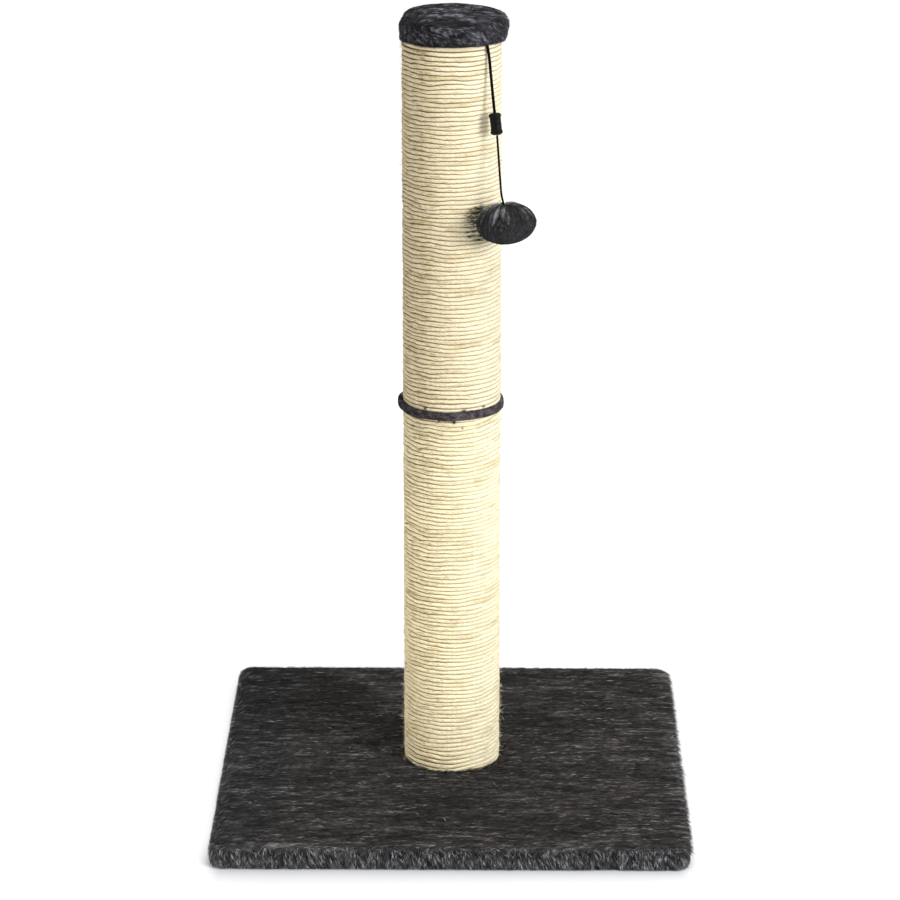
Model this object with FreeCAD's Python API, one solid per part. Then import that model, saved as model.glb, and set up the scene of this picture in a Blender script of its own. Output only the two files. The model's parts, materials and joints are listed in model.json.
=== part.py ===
"""A cat scratching post: a plush-covered square base, two sections of rope-wound
paper tube screwed end to end, a padded plush cap, and a plush ball on a cord
that comes out under the cap and hangs against the post.

Millimetres. +Z is up, the front faces -Y, +X is to the right. The origin is the
middle of the base, on the floor. One STEP file is written for each sub-part.
"""
import FreeCAD
import Part
import math
import os

Vector = FreeCAD.Vector
UP = Vector(0, 0, 1)

# ---------------------------------------------------------------- general fits
FIT = 0.1            # between two pieces that are fastened together
RUN = 0.3            # between two pieces that move against each other

# ------------------------------------------------------------------------ base
base_width = 400.0           # outside of the plush, left to right
base_depth = 400.0           # outside of the plush, front to back
base_corner = 12.0           # upright corners, outside
base_top_round = 6.0         # rounding of the plush along the top edges
base_foot_round = 1.4        # rounding of the fold where the plush turns under
base_plush = 4.0             # thickness of the plush on the board
board_thickness = 12.0
hem_floor_gap = 1.0          # the turned-under plush hangs clear of the floor
hem_thickness = 3.0
hem_width = 35.0             # how far the plush is turned under the board
backing_thickness = 0.5      # sheet glued under the board, inside the hem
backing_gap = 2.0            # between the sheet's edge and the hem
pad_radius = 12.5
pad_inset = 22.0             # pad centre in from the sheet's edges

# ------------------------------------------------------- staples under the base
staples_per_side = 4
staple_spacing = 90.0
staple_inset = 14.0          # in from the board's edge
staple_crown = 12.0
staple_leg = 8.0
staple_wire = 0.6
staple_sink = 2.0            # how deep the crown lies in the pile

# ------------------------------------------------------------ screw in the base
thread_radius = 4.0          # M8, in the base screw, the stud and the T-nuts
screw_length = 30.0
screw_head_radius = 7.0
screw_head_height = 4.4
hex_across = 5.0             # hexagon socket of the screw
hex_depth = 2.4
washer_radius = 12.0
washer_thickness = 1.6
counterbore_depth = 6.5
counterbore_gap = 1.0        # round the washer

# ------------------------------------------------------------------------ post
tube_radius = 38.5           # outside of the paper tube
tube_wall = 4.0
lower_tube_length = 329.0
upper_tube_length = 316.0
pressed_plush = 1.0          # base plush squeezed under the post
plug_length = 18.0

# ----------------------------------------------------------------------- T-nuts
t_nut_barrel_radius = 5.0
t_nut_barrel_length = 11.0
t_nut_flange_radius = 11.0
t_nut_flange_thickness = 1.5
t_nut_prong_length = 6.0
t_nut_prong_width = 3.0
stud_length = 50.0

# ---------------------------------------------------- staples through the tubes
plug_staples_each = 3
plug_staple_crown = 10.0
plug_staple_leg = 12.0

# ------------------------------------------------------------------------ rope
rope_diameter = 3.2
rope_pitch = 3.7
rope_loops = 24              # turns shown as rope in each winding
rope_foot_gap = 0.3          # from the rope to what it starts above
rope_step_gap = 0.5          # from the rope to the plain part of the winding
rope_block_length = 7.0      # where the rope runs on into the plain part
lower_rope_start = -63.0     # degrees from +X: its cut end, right of front
upper_rope_start = 118.0     # degrees from +X, behind

# ------------------------------------------------------------------ joint band
band_height = 10.0
band_stand_out = 2.8         # beyond the rope
band_round = 2.5

# ------------------------------------------------------------------------- cap
cap_board_inset = 0.8        # board's edge, inside the rope's surface
cap_board_thickness = 9.0
cap_hem_thickness = 1.0      # plush pressed between the board and the post
cap_hem_width = 13.0
cap_plush = 4.0
foam_edge = 1.0              # straight edge of the padding
foam_shoulder = 6.0          # its rounded shoulder, up and in
foam_crown = 1.6             # rise from the shoulder to the middle
cap_foot_round = 3.0         # lower edge of the plush
cap_staples = 8
cap_staple_crown = 9.0
cap_staple_leg = 6.0
cap_staple_inset = 3.4       # in from the hem's inner edge, measured outward
cap_screw_radius = 2.0
cap_screw_head = 4.0
cap_screw_length = 25.0
cap_screw_spread = 16.0      # each screw from the middle

# ------------------------------------------------------------------- hanging cord
cord_azimuth = 42.8          # degrees right of front
cord_radius = 1.0            # upper cord
cord_rope_gap = 0.44         # from the cord to the rope at the exit
cord_root_rise = 3.0         # how far up the held end runs before it is level
cord_root_bend = 2.6
cord_root_length = 14.0      # level stretch under the cap board
upper_cord_length = 54.3     # pivot to connector
lower_cord_radius = 0.65
lower_cord_length = 55.5     # connector to ball
ball_rest_gap = 0.4          # from the ball to the rope

# ------------------------------------------------------------------- connector
connector_length = 18.0
connector_radius = 4.6
collar_radius = 5.2
collar_length = 2.4
socket_length = 9.0
socket_floor = 1.8           # solid end round the upper cord
socket_bore = 3.1
nose_wall = 1.2
plug_floor = 2.6             # solid end round the lower cord
upper_knot_radius = 1.9
upper_knot_length = 2.4
lower_knot_radius = 1.4
lower_knot_length = 2.6

# ------------------------------------------------------------------------ ball
ball_radius = 25.0           # across the cord
ball_half_height = 18.5      # along the cord
ball_plush = 2.5
ball_dimple_radius = 5.0     # where the plush is gathered round the cord
ball_dimple_depth = 2.2
ball_knot_radius = 1.8
ball_knot_length = 3.2
ball_knot_depth = 7.0        # below the ball's top

# ------------------------------------------------------------- levels that follow
board_bottom = hem_floor_gap + hem_thickness
board_top = board_bottom + board_thickness
base_top = board_top + base_plush
foot_z = board_top + pressed_plush
joint_z = foot_z + lower_tube_length
post_top = joint_z + upper_tube_length
rope_inner = tube_radius + FIT
rope_centre = rope_inner + rope_diameter / 2
rope_outer = rope_inner + rope_diameter
tube_bore = tube_radius - tube_wall
plug_radius = tube_bore - FIT
band_low = joint_z - band_height / 2
band_high = joint_z + band_height / 2
cap_board_low = post_top + cap_hem_thickness
cap_board_high = cap_board_low + cap_board_thickness
cap_board_radius = rope_outer - cap_board_inset
cap_radius = cap_board_radius + cap_plush


def ring(outer, inner, low, high):
    """A flat-ended tube about Z; a disc where inner is 0."""
    solid = Part.makeCylinder(outer, high - low, Vector(0, 0, low))
    if inner > 0:
        solid = solid.cut(Part.makeCylinder(inner, high - low + 2, Vector(0, 0, low - 1)))
    return solid


def plate(width, depth, low, high, corner):
    """A rectangular plate about Z with rounded upright corners."""
    box = Part.makeBox(width, depth, high - low, Vector(-width / 2, -depth / 2, low))
    upright = [e for e in box.Edges if abs(e.tangentAt(e.FirstParameter).z) > 0.9]
    return box.makeFillet(corner, upright)


def edges_at(solid, level):
    """The edges of a solid that lie in one level plane."""
    return [e for e in solid.Edges
            if abs(e.BoundBox.ZMin - level) < 1e-4 and abs(e.BoundBox.ZMax - level) < 1e-4]


def line(a, b):
    return Part.LineSegment(Vector(a[0], 0, a[1]), Vector(b[0], 0, b[1])).toShape()


def arc(a, middle, b):
    points = [Vector(p[0], 0, p[1]) for p in (a, middle, b)]
    return Part.Arc(*points).toShape()


def quarter(start, end, centre):
    """The short arc about centre from start to end, in the (radius, height) plane."""
    radius = math.hypot(start[0] - centre[0], start[1] - centre[1])
    away = ((start[0] + end[0]) / 2 - centre[0], (start[1] + end[1]) / 2 - centre[1])
    reach = radius / math.hypot(*away)
    return arc(start, (centre[0] + away[0] * reach, centre[1] + away[1] * reach), end)


def revolved(edges):
    """A solid of revolution about Z from a closed profile in the XZ half plane."""
    face = Part.Face(Part.Wire(edges))
    return face.revolve(Vector(0, 0, 0), UP, 360)


def polygon_revolved(points):
    closed = points + points[:1]
    return revolved([line(a, b) for a, b in zip(closed[:-1], closed[1:])])


def turned(shape, degrees):
    copy = shape.copy()
    copy.rotate(Vector(0, 0, 0), UP, degrees)
    return copy


def moved(shape, x, y, z):
    copy = shape.copy()
    copy.translate(Vector(x, y, z))
    return copy


def cut_all(shape, tools):
    return shape.cut(Part.makeCompound(tools)) if tools else shape


def staple(crown, leg, wire, grown=0.0):
    """A staple with its crown along X, the crown's inner side at z = 0, legs up."""
    half = crown / 2
    crown_box = Part.makeBox(crown + 2 * grown, wire + 2 * grown, wire + grown,
                             Vector(-half - grown, -wire / 2 - grown, -wire - grown))
    legs = [Part.makeBox(wire + 2 * grown, wire + 2 * grown, leg + grown,
                         Vector(side - wire / 2 - grown, -wire / 2 - grown, 0))
            for side in (-half + wire / 2, half - wire / 2)]
    return crown_box.multiFuse(legs).removeSplitter()


# ------------------------------------------------------------------------ base
def pad_places():
    across = base_width / 2 - hem_width - backing_gap - pad_inset
    along = base_depth / 2 - hem_width - backing_gap - pad_inset
    return [(sx * across, sy * along) for sx in (-1, 1) for sy in (-1, 1)]


def foot_pads():
    height = board_bottom - backing_thickness
    return Part.makeCompound([Part.makeCylinder(pad_radius, height, Vector(x, y, 0))
                              for x, y in pad_places()])


def hem_staple_shapes(grown=0.0, slot=0.0):
    """The staples round the underside; slot lengthens each crown's cut downwards."""
    level = board_bottom - (hem_thickness - staple_sink)
    one = staple(staple_crown, staple_leg, staple_wire, grown)
    if slot:
        width = staple_wire + 2 * grown
        long = staple_crown + 2 * grown
        one = one.fuse(Part.makeBox(long, width, slot, Vector(-long / 2, -width / 2, -slot)))
    start = -(staples_per_side - 1) / 2 * staple_spacing
    shapes = []
    for side in range(4):
        reach = (base_depth if side % 2 == 0 else base_width) / 2 - base_plush - staple_inset
        for k in range(staples_per_side):
            placed = moved(one, start + k * staple_spacing, -reach, level)
            shapes.append(turned(placed, 90 * side))
    return shapes


def base_board():
    board = plate(base_width - 2 * base_plush, base_depth - 2 * base_plush,
                  board_bottom, board_top, base_corner - base_plush)
    hole = ring(thread_radius + RUN, 0, board_bottom - 1, board_top + 1)
    seat = ring(washer_radius + counterbore_gap, 0, board_bottom - 1,
                board_bottom + counterbore_depth)
    return cut_all(board, [hole, seat] + hem_staple_shapes(FIT))


def base_backing():
    inset = hem_width + backing_gap
    sheet = plate(base_width - 2 * inset, base_depth - 2 * inset,
                  board_bottom - backing_thickness, board_bottom, base_corner)
    hole = ring(washer_radius + counterbore_gap, 0, 0, board_bottom + 1)
    return sheet.cut(hole)


def base_cover():
    skin = plate(base_width, base_depth, hem_floor_gap, base_top, base_corner)
    skin = skin.makeFillet(base_top_round, edges_at(skin, base_top))
    skin = skin.makeFillet(base_foot_round, edges_at(skin, hem_floor_gap))
    inside = plate(base_width - 2 * base_plush, base_depth - 2 * base_plush,
                   board_bottom, board_top, base_corner - base_plush)
    opening = plate(base_width - 2 * hem_width, base_depth - 2 * hem_width,
                    0, board_bottom + 1, base_corner)
    recess = ring(rope_outer + RUN, 0, foot_z, base_top + 1)
    hole = ring(thread_radius + RUN, 0, board_bottom, base_top + 1)
    return cut_all(skin, [inside, opening, recess, hole]
                   + hem_staple_shapes(FIT, staple_sink + 1))


# ------------------------------------------------------------ screw in the base
def base_washer():
    high = board_bottom + counterbore_depth
    return ring(washer_radius, thread_radius + RUN, high - washer_thickness, high)


def base_screw():
    seat = board_bottom + counterbore_depth - washer_thickness
    head = Part.makeCylinder(screw_head_radius, screw_head_height,
                             Vector(0, 0, seat - screw_head_height))
    head = head.makeFillet(screw_head_height / 3,
                           edges_at(head, seat - screw_head_height))
    shank = Part.makeCylinder(thread_radius, screw_length, Vector(0, 0, seat))
    corner = hex_across / math.sqrt(3)
    points = [Vector(corner * math.cos(math.radians(60 * k)),
                     corner * math.sin(math.radians(60 * k)),
                     seat - screw_head_height - 0.1) for k in range(7)]
    socket = Part.Face(Part.makePolygon(points)).extrude(Vector(0, 0, hex_depth + 0.1))
    return head.fuse(shank).removeSplitter().cut(socket)


# ------------------------------------------------------------------------ post
def tube(low, high, plug_levels):
    wall = ring(tube_radius, tube_bore, low, high)
    return cut_all(wall, [s for z in plug_levels for s in plug_staple_shapes(z, FIT)])


def plug_staple_shapes(level, grown=0.0):
    """Staples through the tube's wall into the plug whose middle is at this level."""
    one = staple(plug_staple_crown, plug_staple_leg, staple_wire, grown)
    one.rotate(Vector(0, 0, 0), Vector(0, 1, 0), -90)
    one.translate(Vector(tube_radius - staple_wire, 0, level))
    return [turned(one, 30 + 360 / plug_staples_each * k) for k in range(plug_staples_each)]


def t_nut(grown=0.0):
    """Flange on the XY plane, its prongs and barrel pointing down -Z."""
    flange = Part.makeCylinder(t_nut_flange_radius + grown, t_nut_flange_thickness)
    barrel = Part.makeCylinder(t_nut_barrel_radius + grown, t_nut_barrel_length,
                               Vector(0, 0, -t_nut_barrel_length))
    prong = Part.makeBox(t_nut_flange_thickness + 2 * grown, t_nut_prong_width + 2 * grown,
                         t_nut_prong_length + grown,
                         Vector(t_nut_flange_radius - t_nut_flange_thickness - 1 - grown,
                                -t_nut_prong_width / 2 - grown,
                                -t_nut_prong_length - grown))
    return flange.multiFuse([barrel] + [turned(prong, 90 * k) for k in range(4)])


def threaded(nut, level):
    """A T-nut with its tapped hole, its flange on this level."""
    bore = Part.makeCylinder(thread_radius + 0.05, 60, Vector(0, 0, -30))
    return moved(nut.cut(bore), 0, 0, level)


def flipped(shape):
    copy = shape.copy()
    copy.rotate(Vector(0, 0, 0), Vector(1, 0, 0), 180)
    return copy


def plug(low, nut, staple_cuts=True):
    """A round wooden plug; nut is the T-nut's shape where it is pressed in."""
    body = ring(plug_radius, 0, low, low + plug_length)
    hole = ring(thread_radius + RUN, 0, low - 1, low + plug_length + 1)
    return cut_all(body, [hole, nut] + plug_staple_shapes(low + plug_length / 2, FIT))


def joining_stud():
    return ring(thread_radius, 0, joint_z - stud_length / 2, joint_z + stud_length / 2)


# ------------------------------------------------------------------------ rope
def biarc(p0, t0, p1, t1):
    """Two arcs from p0 to p1 with unit tangents t0 and t1."""
    v = p1 - p0
    t = t0 + t1
    square = 4 - t.dot(t)
    vt = v.dot(t)
    d = (-vt + math.sqrt(vt * vt + square * v.dot(v))) / square
    q0 = p0 + t0 * d
    q1 = p1 - t1 * d
    joint = (q0 + q1) * 0.5
    return [arc_from(p0, q0, joint), arc_from(joint, q1, p1)]


def arc_from(start, corner, end):
    """The arc tangent at start and end to the lines that meet at corner."""
    chord = end - start
    middle = (start + end) * 0.5
    d = chord.Length / 2
    rise = corner - middle
    half_turn = math.atan2(rise.Length, d)
    sagitta = rise * (1 / rise.Length) * (d * math.tan(half_turn / 2))
    return Part.Arc(start, middle + sagitta, end)


def helix_frame(angle, level, slope):
    """Point on the rope's centre line and its direction."""
    c = math.cos(angle)
    s = math.sin(angle)
    point = Vector(rope_centre * c, rope_centre * s, level)
    direction = Vector(-s * math.cos(slope), c * math.cos(slope), math.sin(slope))
    return point, direction


def rope_path(low, start_angle):
    """Arcs of a winding whose first turn starts at this level, and its two frames."""
    lead = math.atan2(rope_pitch, 2 * math.pi * rope_centre)
    last = 2 * rope_loops
    frames = [helix_frame(start_angle + math.pi * k, low + rope_pitch * k / 2,
                          0 if k in (0, last) else lead) for k in range(last + 1)]
    arcs = [Part.LineSegment(frames[0][0] - frames[0][1] * rope_diameter, frames[0][0])]
    for (p0, t0), (p1, t1) in zip(frames[:-1], frames[1:]):
        arcs += biarc(p0, t0, p1, t1)
    end = frames[-1][0] + frames[-1][1] * rope_diameter
    arcs.append(Part.LineSegment(frames[-1][0], end))
    return arcs, frames


def least_gap(arcs, name):
    """Prints the least space between neighbouring turns, from points on the path."""
    points = []
    for curve in arcs[1:-1]:
        first = curve.FirstParameter
        step = (curve.LastParameter - first) / 45
        points += [curve.value(first + step * i) for i in range(45)]
    per_turn = 45 * 4
    least = min((points[i] - points[j]).Length
                for i in range(0, len(points), 2)
                for j in range(i + per_turn // 2, min(i + per_turn * 3 // 2, len(points))))
    print(name, "least gap between turns", round(least - rope_diameter, 3),
          "rope radius of bend", rope_centre)


def winding(low, high, start_degrees, name):
    """Rope turns above low, then the plain sleeve that stands for the rest up to high."""
    start_angle = math.radians(start_degrees)
    first = low + rope_foot_gap + rope_diameter / 2
    arcs, frames = rope_path(first, start_angle)
    least_gap(arcs, name)
    wire = Part.Wire([c.toShape() for c in arcs])
    point, direction = frames[0]
    profile = Part.Wire([Part.Circle(point - direction * rope_diameter, direction,
                                     rope_diameter / 2).toShape()])
    shell = Part.BRepOffsetAPI.MakePipeShell(wire)
    shell.add(profile)
    shell.build()
    shell.makeSolid()
    turns = shell.shape()
    run = wire.Length * math.pi * rope_diameter ** 2 / 4
    print(name, "rope shown", round(wire.Length), "mm, volume against section x length",
          round(turns.Volume / run, 4))
    top = frames[-1][0].z
    step = top + rope_diameter / 2 + rope_step_gap
    sleeve = ring(rope_outer, rope_inner, step, high)
    return turns, sleeve.fuse(run_on(frames[-1], step)).removeSplitter()


def run_on(frame, step):
    """The short block that the shown rope runs into, below the plain sleeve."""
    point, direction = frame
    angle = math.degrees(math.atan2(point.y, point.x))
    block = Part.makeBox(2 * rope_diameter, rope_block_length,
                         step + 1 - (point.z - rope_diameter / 2),
                         Vector(rope_centre - rope_diameter, rope_diameter,
                                point.z - rope_diameter / 2))
    block = turned(block, angle)
    return block.common(ring(rope_outer, rope_inner, point.z - rope_diameter, step + 1))


def lower_rope():
    turns, sleeve = winding(foot_z, band_low, lower_rope_start, "lower_rope_winding")
    return Part.makeCompound([turns, sleeve])


def upper_rope():
    """The same winding turned end over end, so that its rope turns are at the top."""
    turns, sleeve = winding(0, post_top - band_high, upper_rope_start, "upper_rope_winding")
    both = []
    for solid in (turns, sleeve):
        both.append(moved(flipped(solid), 0, 0, post_top))
    return Part.makeCompound(both)


def joint_band():
    outer = rope_outer + band_stand_out
    inner = tube_radius + FIT
    r = band_round
    edges = [
        line((inner, band_low), (outer - r, band_low)),
        quarter((outer - r, band_low), (outer, band_low + r), (outer - r, band_low + r)),
        line((outer, band_low + r), (outer, band_high - r)),
        quarter((outer, band_high - r), (outer - r, band_high), (outer - r, band_high - r)),
        line((outer - r, band_high), (inner, band_high)),
        line((inner, band_high), (inner, band_low)),
    ]
    return revolved(edges)


# ------------------------------------------------------------------------- cap
def cap_screw_shapes(grown=0.0):
    """Countersunk wood screws up through the top plug into the cap board."""
    low = post_top - plug_length
    cone = cap_screw_head - cap_screw_radius
    screws = []
    for side in (-1, 1):
        profile = [(0, low), (cap_screw_head + grown, low),
                   (cap_screw_radius + grown, low + cone),
                   (cap_screw_radius + grown, low + cap_screw_length - cone),
                   (0, low + cap_screw_length + grown)]
        screws.append(moved(polygon_revolved(profile), side * cap_screw_spread, 0, 0))
    return screws


def cap_staple_shapes(grown=0.0):
    one = staple(cap_staple_crown, cap_staple_leg, staple_wire, grown)
    reach = cap_board_radius - cap_hem_width + cap_staple_inset
    one = moved(one, 0, -reach, cap_board_low - (cap_hem_thickness - staple_wire) / 2)
    return [turned(one, 360 / cap_staples * (k + 0.5)) for k in range(cap_staples)]


def cap_board():
    board = ring(cap_board_radius, 0, cap_board_low, cap_board_high)
    return cut_all(board, cap_screw_shapes(FIT / 2) + cap_staple_shapes(FIT)
                   + [cord_root_shape(FIT), cord_staple_shape(FIT)])


def foam_profile(outer, level, lift):
    """The top and its shoulder, and where each of the two ends.

    lift is how far this surface lies outside the padding itself.
    """
    shoulder_low = level + foam_edge
    shoulder_in = cap_board_radius - foam_shoulder
    shoulder_top = shoulder_low + foam_shoulder + lift
    crown_top = shoulder_top + foam_crown
    crown_radius = (shoulder_in ** 2 + foam_crown ** 2) / (2 * foam_crown)
    crown = quarter((0, crown_top), (shoulder_in, shoulder_top), (0, crown_top - crown_radius))
    shoulder = quarter((shoulder_in, shoulder_top), (outer, shoulder_low),
                       (shoulder_in, shoulder_low))
    return [crown, shoulder], (0, crown_top), (outer, shoulder_low)


def cap_padding():
    edges, top, low = foam_profile(cap_board_radius, cap_board_high, 0)
    foot = (cap_board_radius, cap_board_high)
    edges += [line(low, foot), line(foot, (0, cap_board_high)), line((0, cap_board_high), top)]
    return revolved(edges)


def cap_cover():
    """Plush over the padding, down the board's edge and turned under it."""
    outside, top, outer_low = foam_profile(cap_radius, cap_board_high, cap_plush)
    inside, inner_top, inner_low = foam_profile(cap_board_radius, cap_board_high, 0)
    r = cap_foot_round
    hem = cap_board_radius - cap_hem_width
    foot = [(cap_radius, post_top + r), (cap_radius - r, post_top), (hem, post_top),
            (hem, cap_board_low), (cap_board_radius, cap_board_low), inner_low]
    edges = outside + [line(outer_low, foot[0])]
    edges.append(quarter(foot[0], foot[1], (cap_radius - r, post_top + r)))
    edges += [line(a, b) for a, b in zip(foot[1:-1], foot[2:])]
    edges += inside[::-1] + [line(inner_top, top)]
    skin = revolved(edges)
    return cut_all(skin, cap_staple_shapes(FIT)
                   + [cord_root_shape(FIT, 1.0), cord_staple_shape(FIT)])


# ---------------------------------------------------------------- hanging cord
exit_radius = rope_outer + cord_rope_gap + cord_radius
exit_z = post_top - RUN - cord_radius
ball_along = upper_cord_length + connector_length + lower_cord_length + ball_half_height
ball_out = rope_outer + ball_rest_gap + ball_radius
cord_slant = math.degrees(math.asin((ball_out - exit_radius) / ball_along))


def hung(shape):
    """From the cord's own frame (hanging down -Z from its pivot, +X away from the
    post) to where it hangs."""
    copy = shape.copy()
    copy.rotate(Vector(0, 0, 0), Vector(0, 1, 0), -cord_slant)
    copy.rotate(Vector(0, 0, 0), UP, cord_azimuth - 90)
    a = math.radians(cord_azimuth)
    copy.translate(Vector(exit_radius * math.sin(a), -exit_radius * math.cos(a), exit_z))
    return copy


def at_exit(shape):
    """From the plane y = 0, x = distance from the post's axis, to the cord's azimuth."""
    return turned(shape, cord_azimuth - 90)


def cord_root_shape(grown=0.0, down=0.0):
    """The held end: up through the plush, then level in a groove of the cap board."""
    r = cord_root_bend
    level = post_top + cord_root_rise
    first = Vector(exit_radius, 0, post_top - down)
    bend_low = Vector(exit_radius, 0, level - r)
    diagonal = r * (1 - math.sqrt(0.5))
    bend_mid = Vector(exit_radius - diagonal, 0, level - diagonal)
    bend_high = Vector(exit_radius - r, 0, level)
    last = Vector(exit_radius - r - cord_root_length, 0, level)
    wire = Part.Wire([Part.LineSegment(first, bend_low).toShape(),
                      Part.Arc(bend_low, bend_mid, bend_high).toShape(),
                      Part.LineSegment(bend_high, last).toShape()])
    profile = Part.Wire([Part.Circle(first, UP, cord_radius + grown).toShape()])
    shell = Part.BRepOffsetAPI.MakePipeShell(wire)
    shell.add(profile)
    shell.build()
    shell.makeSolid()
    solid = shell.shape()
    if grown:
        slot = Part.makeBox(cord_root_length + r, 2 * (cord_radius + grown),
                            level - cap_board_low + 1,
                            Vector(last.x, -cord_radius - grown, cap_board_low - 1))
        solid = solid.fuse(slot.common(ring(cap_board_radius, 0, cap_board_low - 1, level)))
    return at_exit(solid)


def cord_staple_shape(grown=0.0):
    """One staple across the held cord, its crown just below the cord."""
    one = staple(cap_staple_crown * 0.6, cap_staple_leg, staple_wire, grown)
    one.rotate(Vector(0, 0, 0), UP, 90)
    reach = exit_radius - cord_root_bend - cord_root_length * 0.7
    level = post_top + cord_root_rise - cord_radius
    return at_exit(moved(one, reach, 0, level))


def rounded_rod(radius, top, bottom):
    """A rod along -Z whose upper end is a half ball centred on top."""
    rod = Part.makeCylinder(radius, top - bottom, Vector(0, 0, bottom))
    return rod.fuse(Part.makeSphere(radius, Vector(0, 0, top))).removeSplitter()


socket_top = -upper_cord_length
socket_bottom = socket_top - socket_length
plug_bottom = socket_top - connector_length
plug_top = socket_bottom - FIT
cord_end = socket_top - socket_floor
nose_radius = socket_bore - FIT
nose_top = cord_end - upper_knot_length - RUN
pivot_z = plug_bottom - RUN - lower_cord_radius
ball_top = plug_bottom - lower_cord_length
ball_centre = ball_top - ball_half_height
knot_high = ball_top - ball_knot_depth
knot_low = knot_high - ball_knot_length


def knot(radius, high, low, bite):
    """A tied knot, simplified: a squat rounded cylinder, bored where a cord passes."""
    body = Part.makeCylinder(radius, high - low, Vector(0, 0, low))
    body = body.makeFillet(min(radius, high - low) * 0.4,
                           edges_at(body, high) + edges_at(body, low))
    return body if bite is None else body.fuse(bite).removeSplitter()


def upper_cord():
    return rounded_rod(cord_radius, 0, cord_end)


def upper_knot():
    return knot(upper_knot_radius, cord_end, cord_end - upper_knot_length, None)


def connector_socket():
    body = ring(connector_radius, 0, socket_bottom, socket_top)
    collar = ring(collar_radius, 0, socket_top - collar_length, socket_top)
    collar = collar.makeFillet(collar_length / 4, edges_at(collar, socket_top))
    bore = ring(socket_bore, 0, socket_bottom - 1, cord_end)
    hole = ring(cord_radius + FIT, 0, cord_end - 1, socket_top + 1)
    return cut_all(body.fuse(collar).removeSplitter(), [bore, hole])


def connector_plug():
    body = ring(connector_radius, 0, plug_bottom, plug_top)
    collar = ring(collar_radius, 0, plug_bottom, plug_bottom + collar_length)
    collar = collar.makeFillet(collar_length / 4, edges_at(collar, plug_bottom))
    nose = ring(nose_radius, 0, plug_top - 1, nose_top)
    bore = ring(nose_radius - nose_wall, 0, plug_bottom + plug_floor, nose_top + 1)
    hole = ring(lower_cord_radius + FIT, 0, plug_bottom - 1, plug_bottom + plug_floor + 1)
    return cut_all(body.multiFuse([collar, nose]).removeSplitter(), [bore, hole])


def lower_knot():
    floor = plug_bottom + plug_floor
    stub = ring(lower_cord_radius, 0, plug_bottom, floor + lower_knot_length / 2)
    return knot(lower_knot_radius, floor + lower_knot_length, floor, stub)


def lower_cord():
    return rounded_rod(lower_cord_radius, pivot_z, knot_high)


def ball_knot():
    return knot(ball_knot_radius, knot_high, knot_low, None)


def oval(radius, half_height, inner):
    """A flattened ball's outline in arcs, from this inner radius near its top, out
    and round to its lowest point on the axis, and the point where it starts."""
    reach = radius + half_height
    d = (math.sqrt(reach ** 2 + 2 * (radius ** 2 + half_height ** 2)) - reach) / 2
    join = ((d + radius) / 2, (half_height + d) / 2)
    drop = half_height - join[1]
    crown = (join[0] ** 2 + drop ** 2) / (2 * drop)
    side = radius - join[0]
    rim = (side ** 2 + join[1] ** 2) / (2 * side)
    start = (inner, half_height - crown + math.sqrt(crown ** 2 - inner ** 2))
    low_join = (join[0], -join[1])
    return [quarter(start, join, (0, half_height - crown)),
            quarter(join, (radius, 0), (radius - rim, 0)),
            quarter((radius, 0), low_join, (radius - rim, 0)),
            quarter(low_join, (0, -half_height), (0, crown - half_height))], start


def ball_cover():
    """Plush round the filling, gathered in at the top round the cord."""
    shaft = lower_cord_radius + RUN
    outside, edge = oval(ball_radius, ball_half_height, ball_dimple_radius)
    inside, mouth = oval(ball_radius - ball_plush, ball_half_height - ball_plush, shaft)
    gather = (shaft, edge[1] - ball_dimple_depth)
    edges = outside + [line((0, -ball_half_height), (0, ball_plush - ball_half_height))]
    edges += inside[::-1] + [line(mouth, gather), line(gather, edge)]
    return moved(revolved(edges), 0, 0, ball_centre)


def ball_filling():
    """Filling with room for the cord and its knot, so that the ball can spin on them."""
    shaft = lower_cord_radius + RUN
    pocket = ball_knot_radius + RUN
    high = knot_high + RUN - ball_centre
    low = knot_low - RUN - ball_centre
    bottom = ball_half_height - ball_plush - FIT
    outside, mouth = oval(ball_radius - ball_plush - FIT, bottom, shaft)
    room = [(0, -bottom), (0, low), (pocket, low), (pocket, high), (shaft, high), mouth]
    edges = outside + [line(a, b) for a, b in zip(room[:-1], room[1:])]
    return moved(revolved(edges), 0, 0, ball_centre)


def write(name, shape):
    shape.exportStep("parts/" + name + ".step")
    print(name, len(shape.Solids), "solid(s)", round(shape.Volume / 1000, 2), "cm3",
          "" if shape.isValid() else "NOT VALID")


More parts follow.
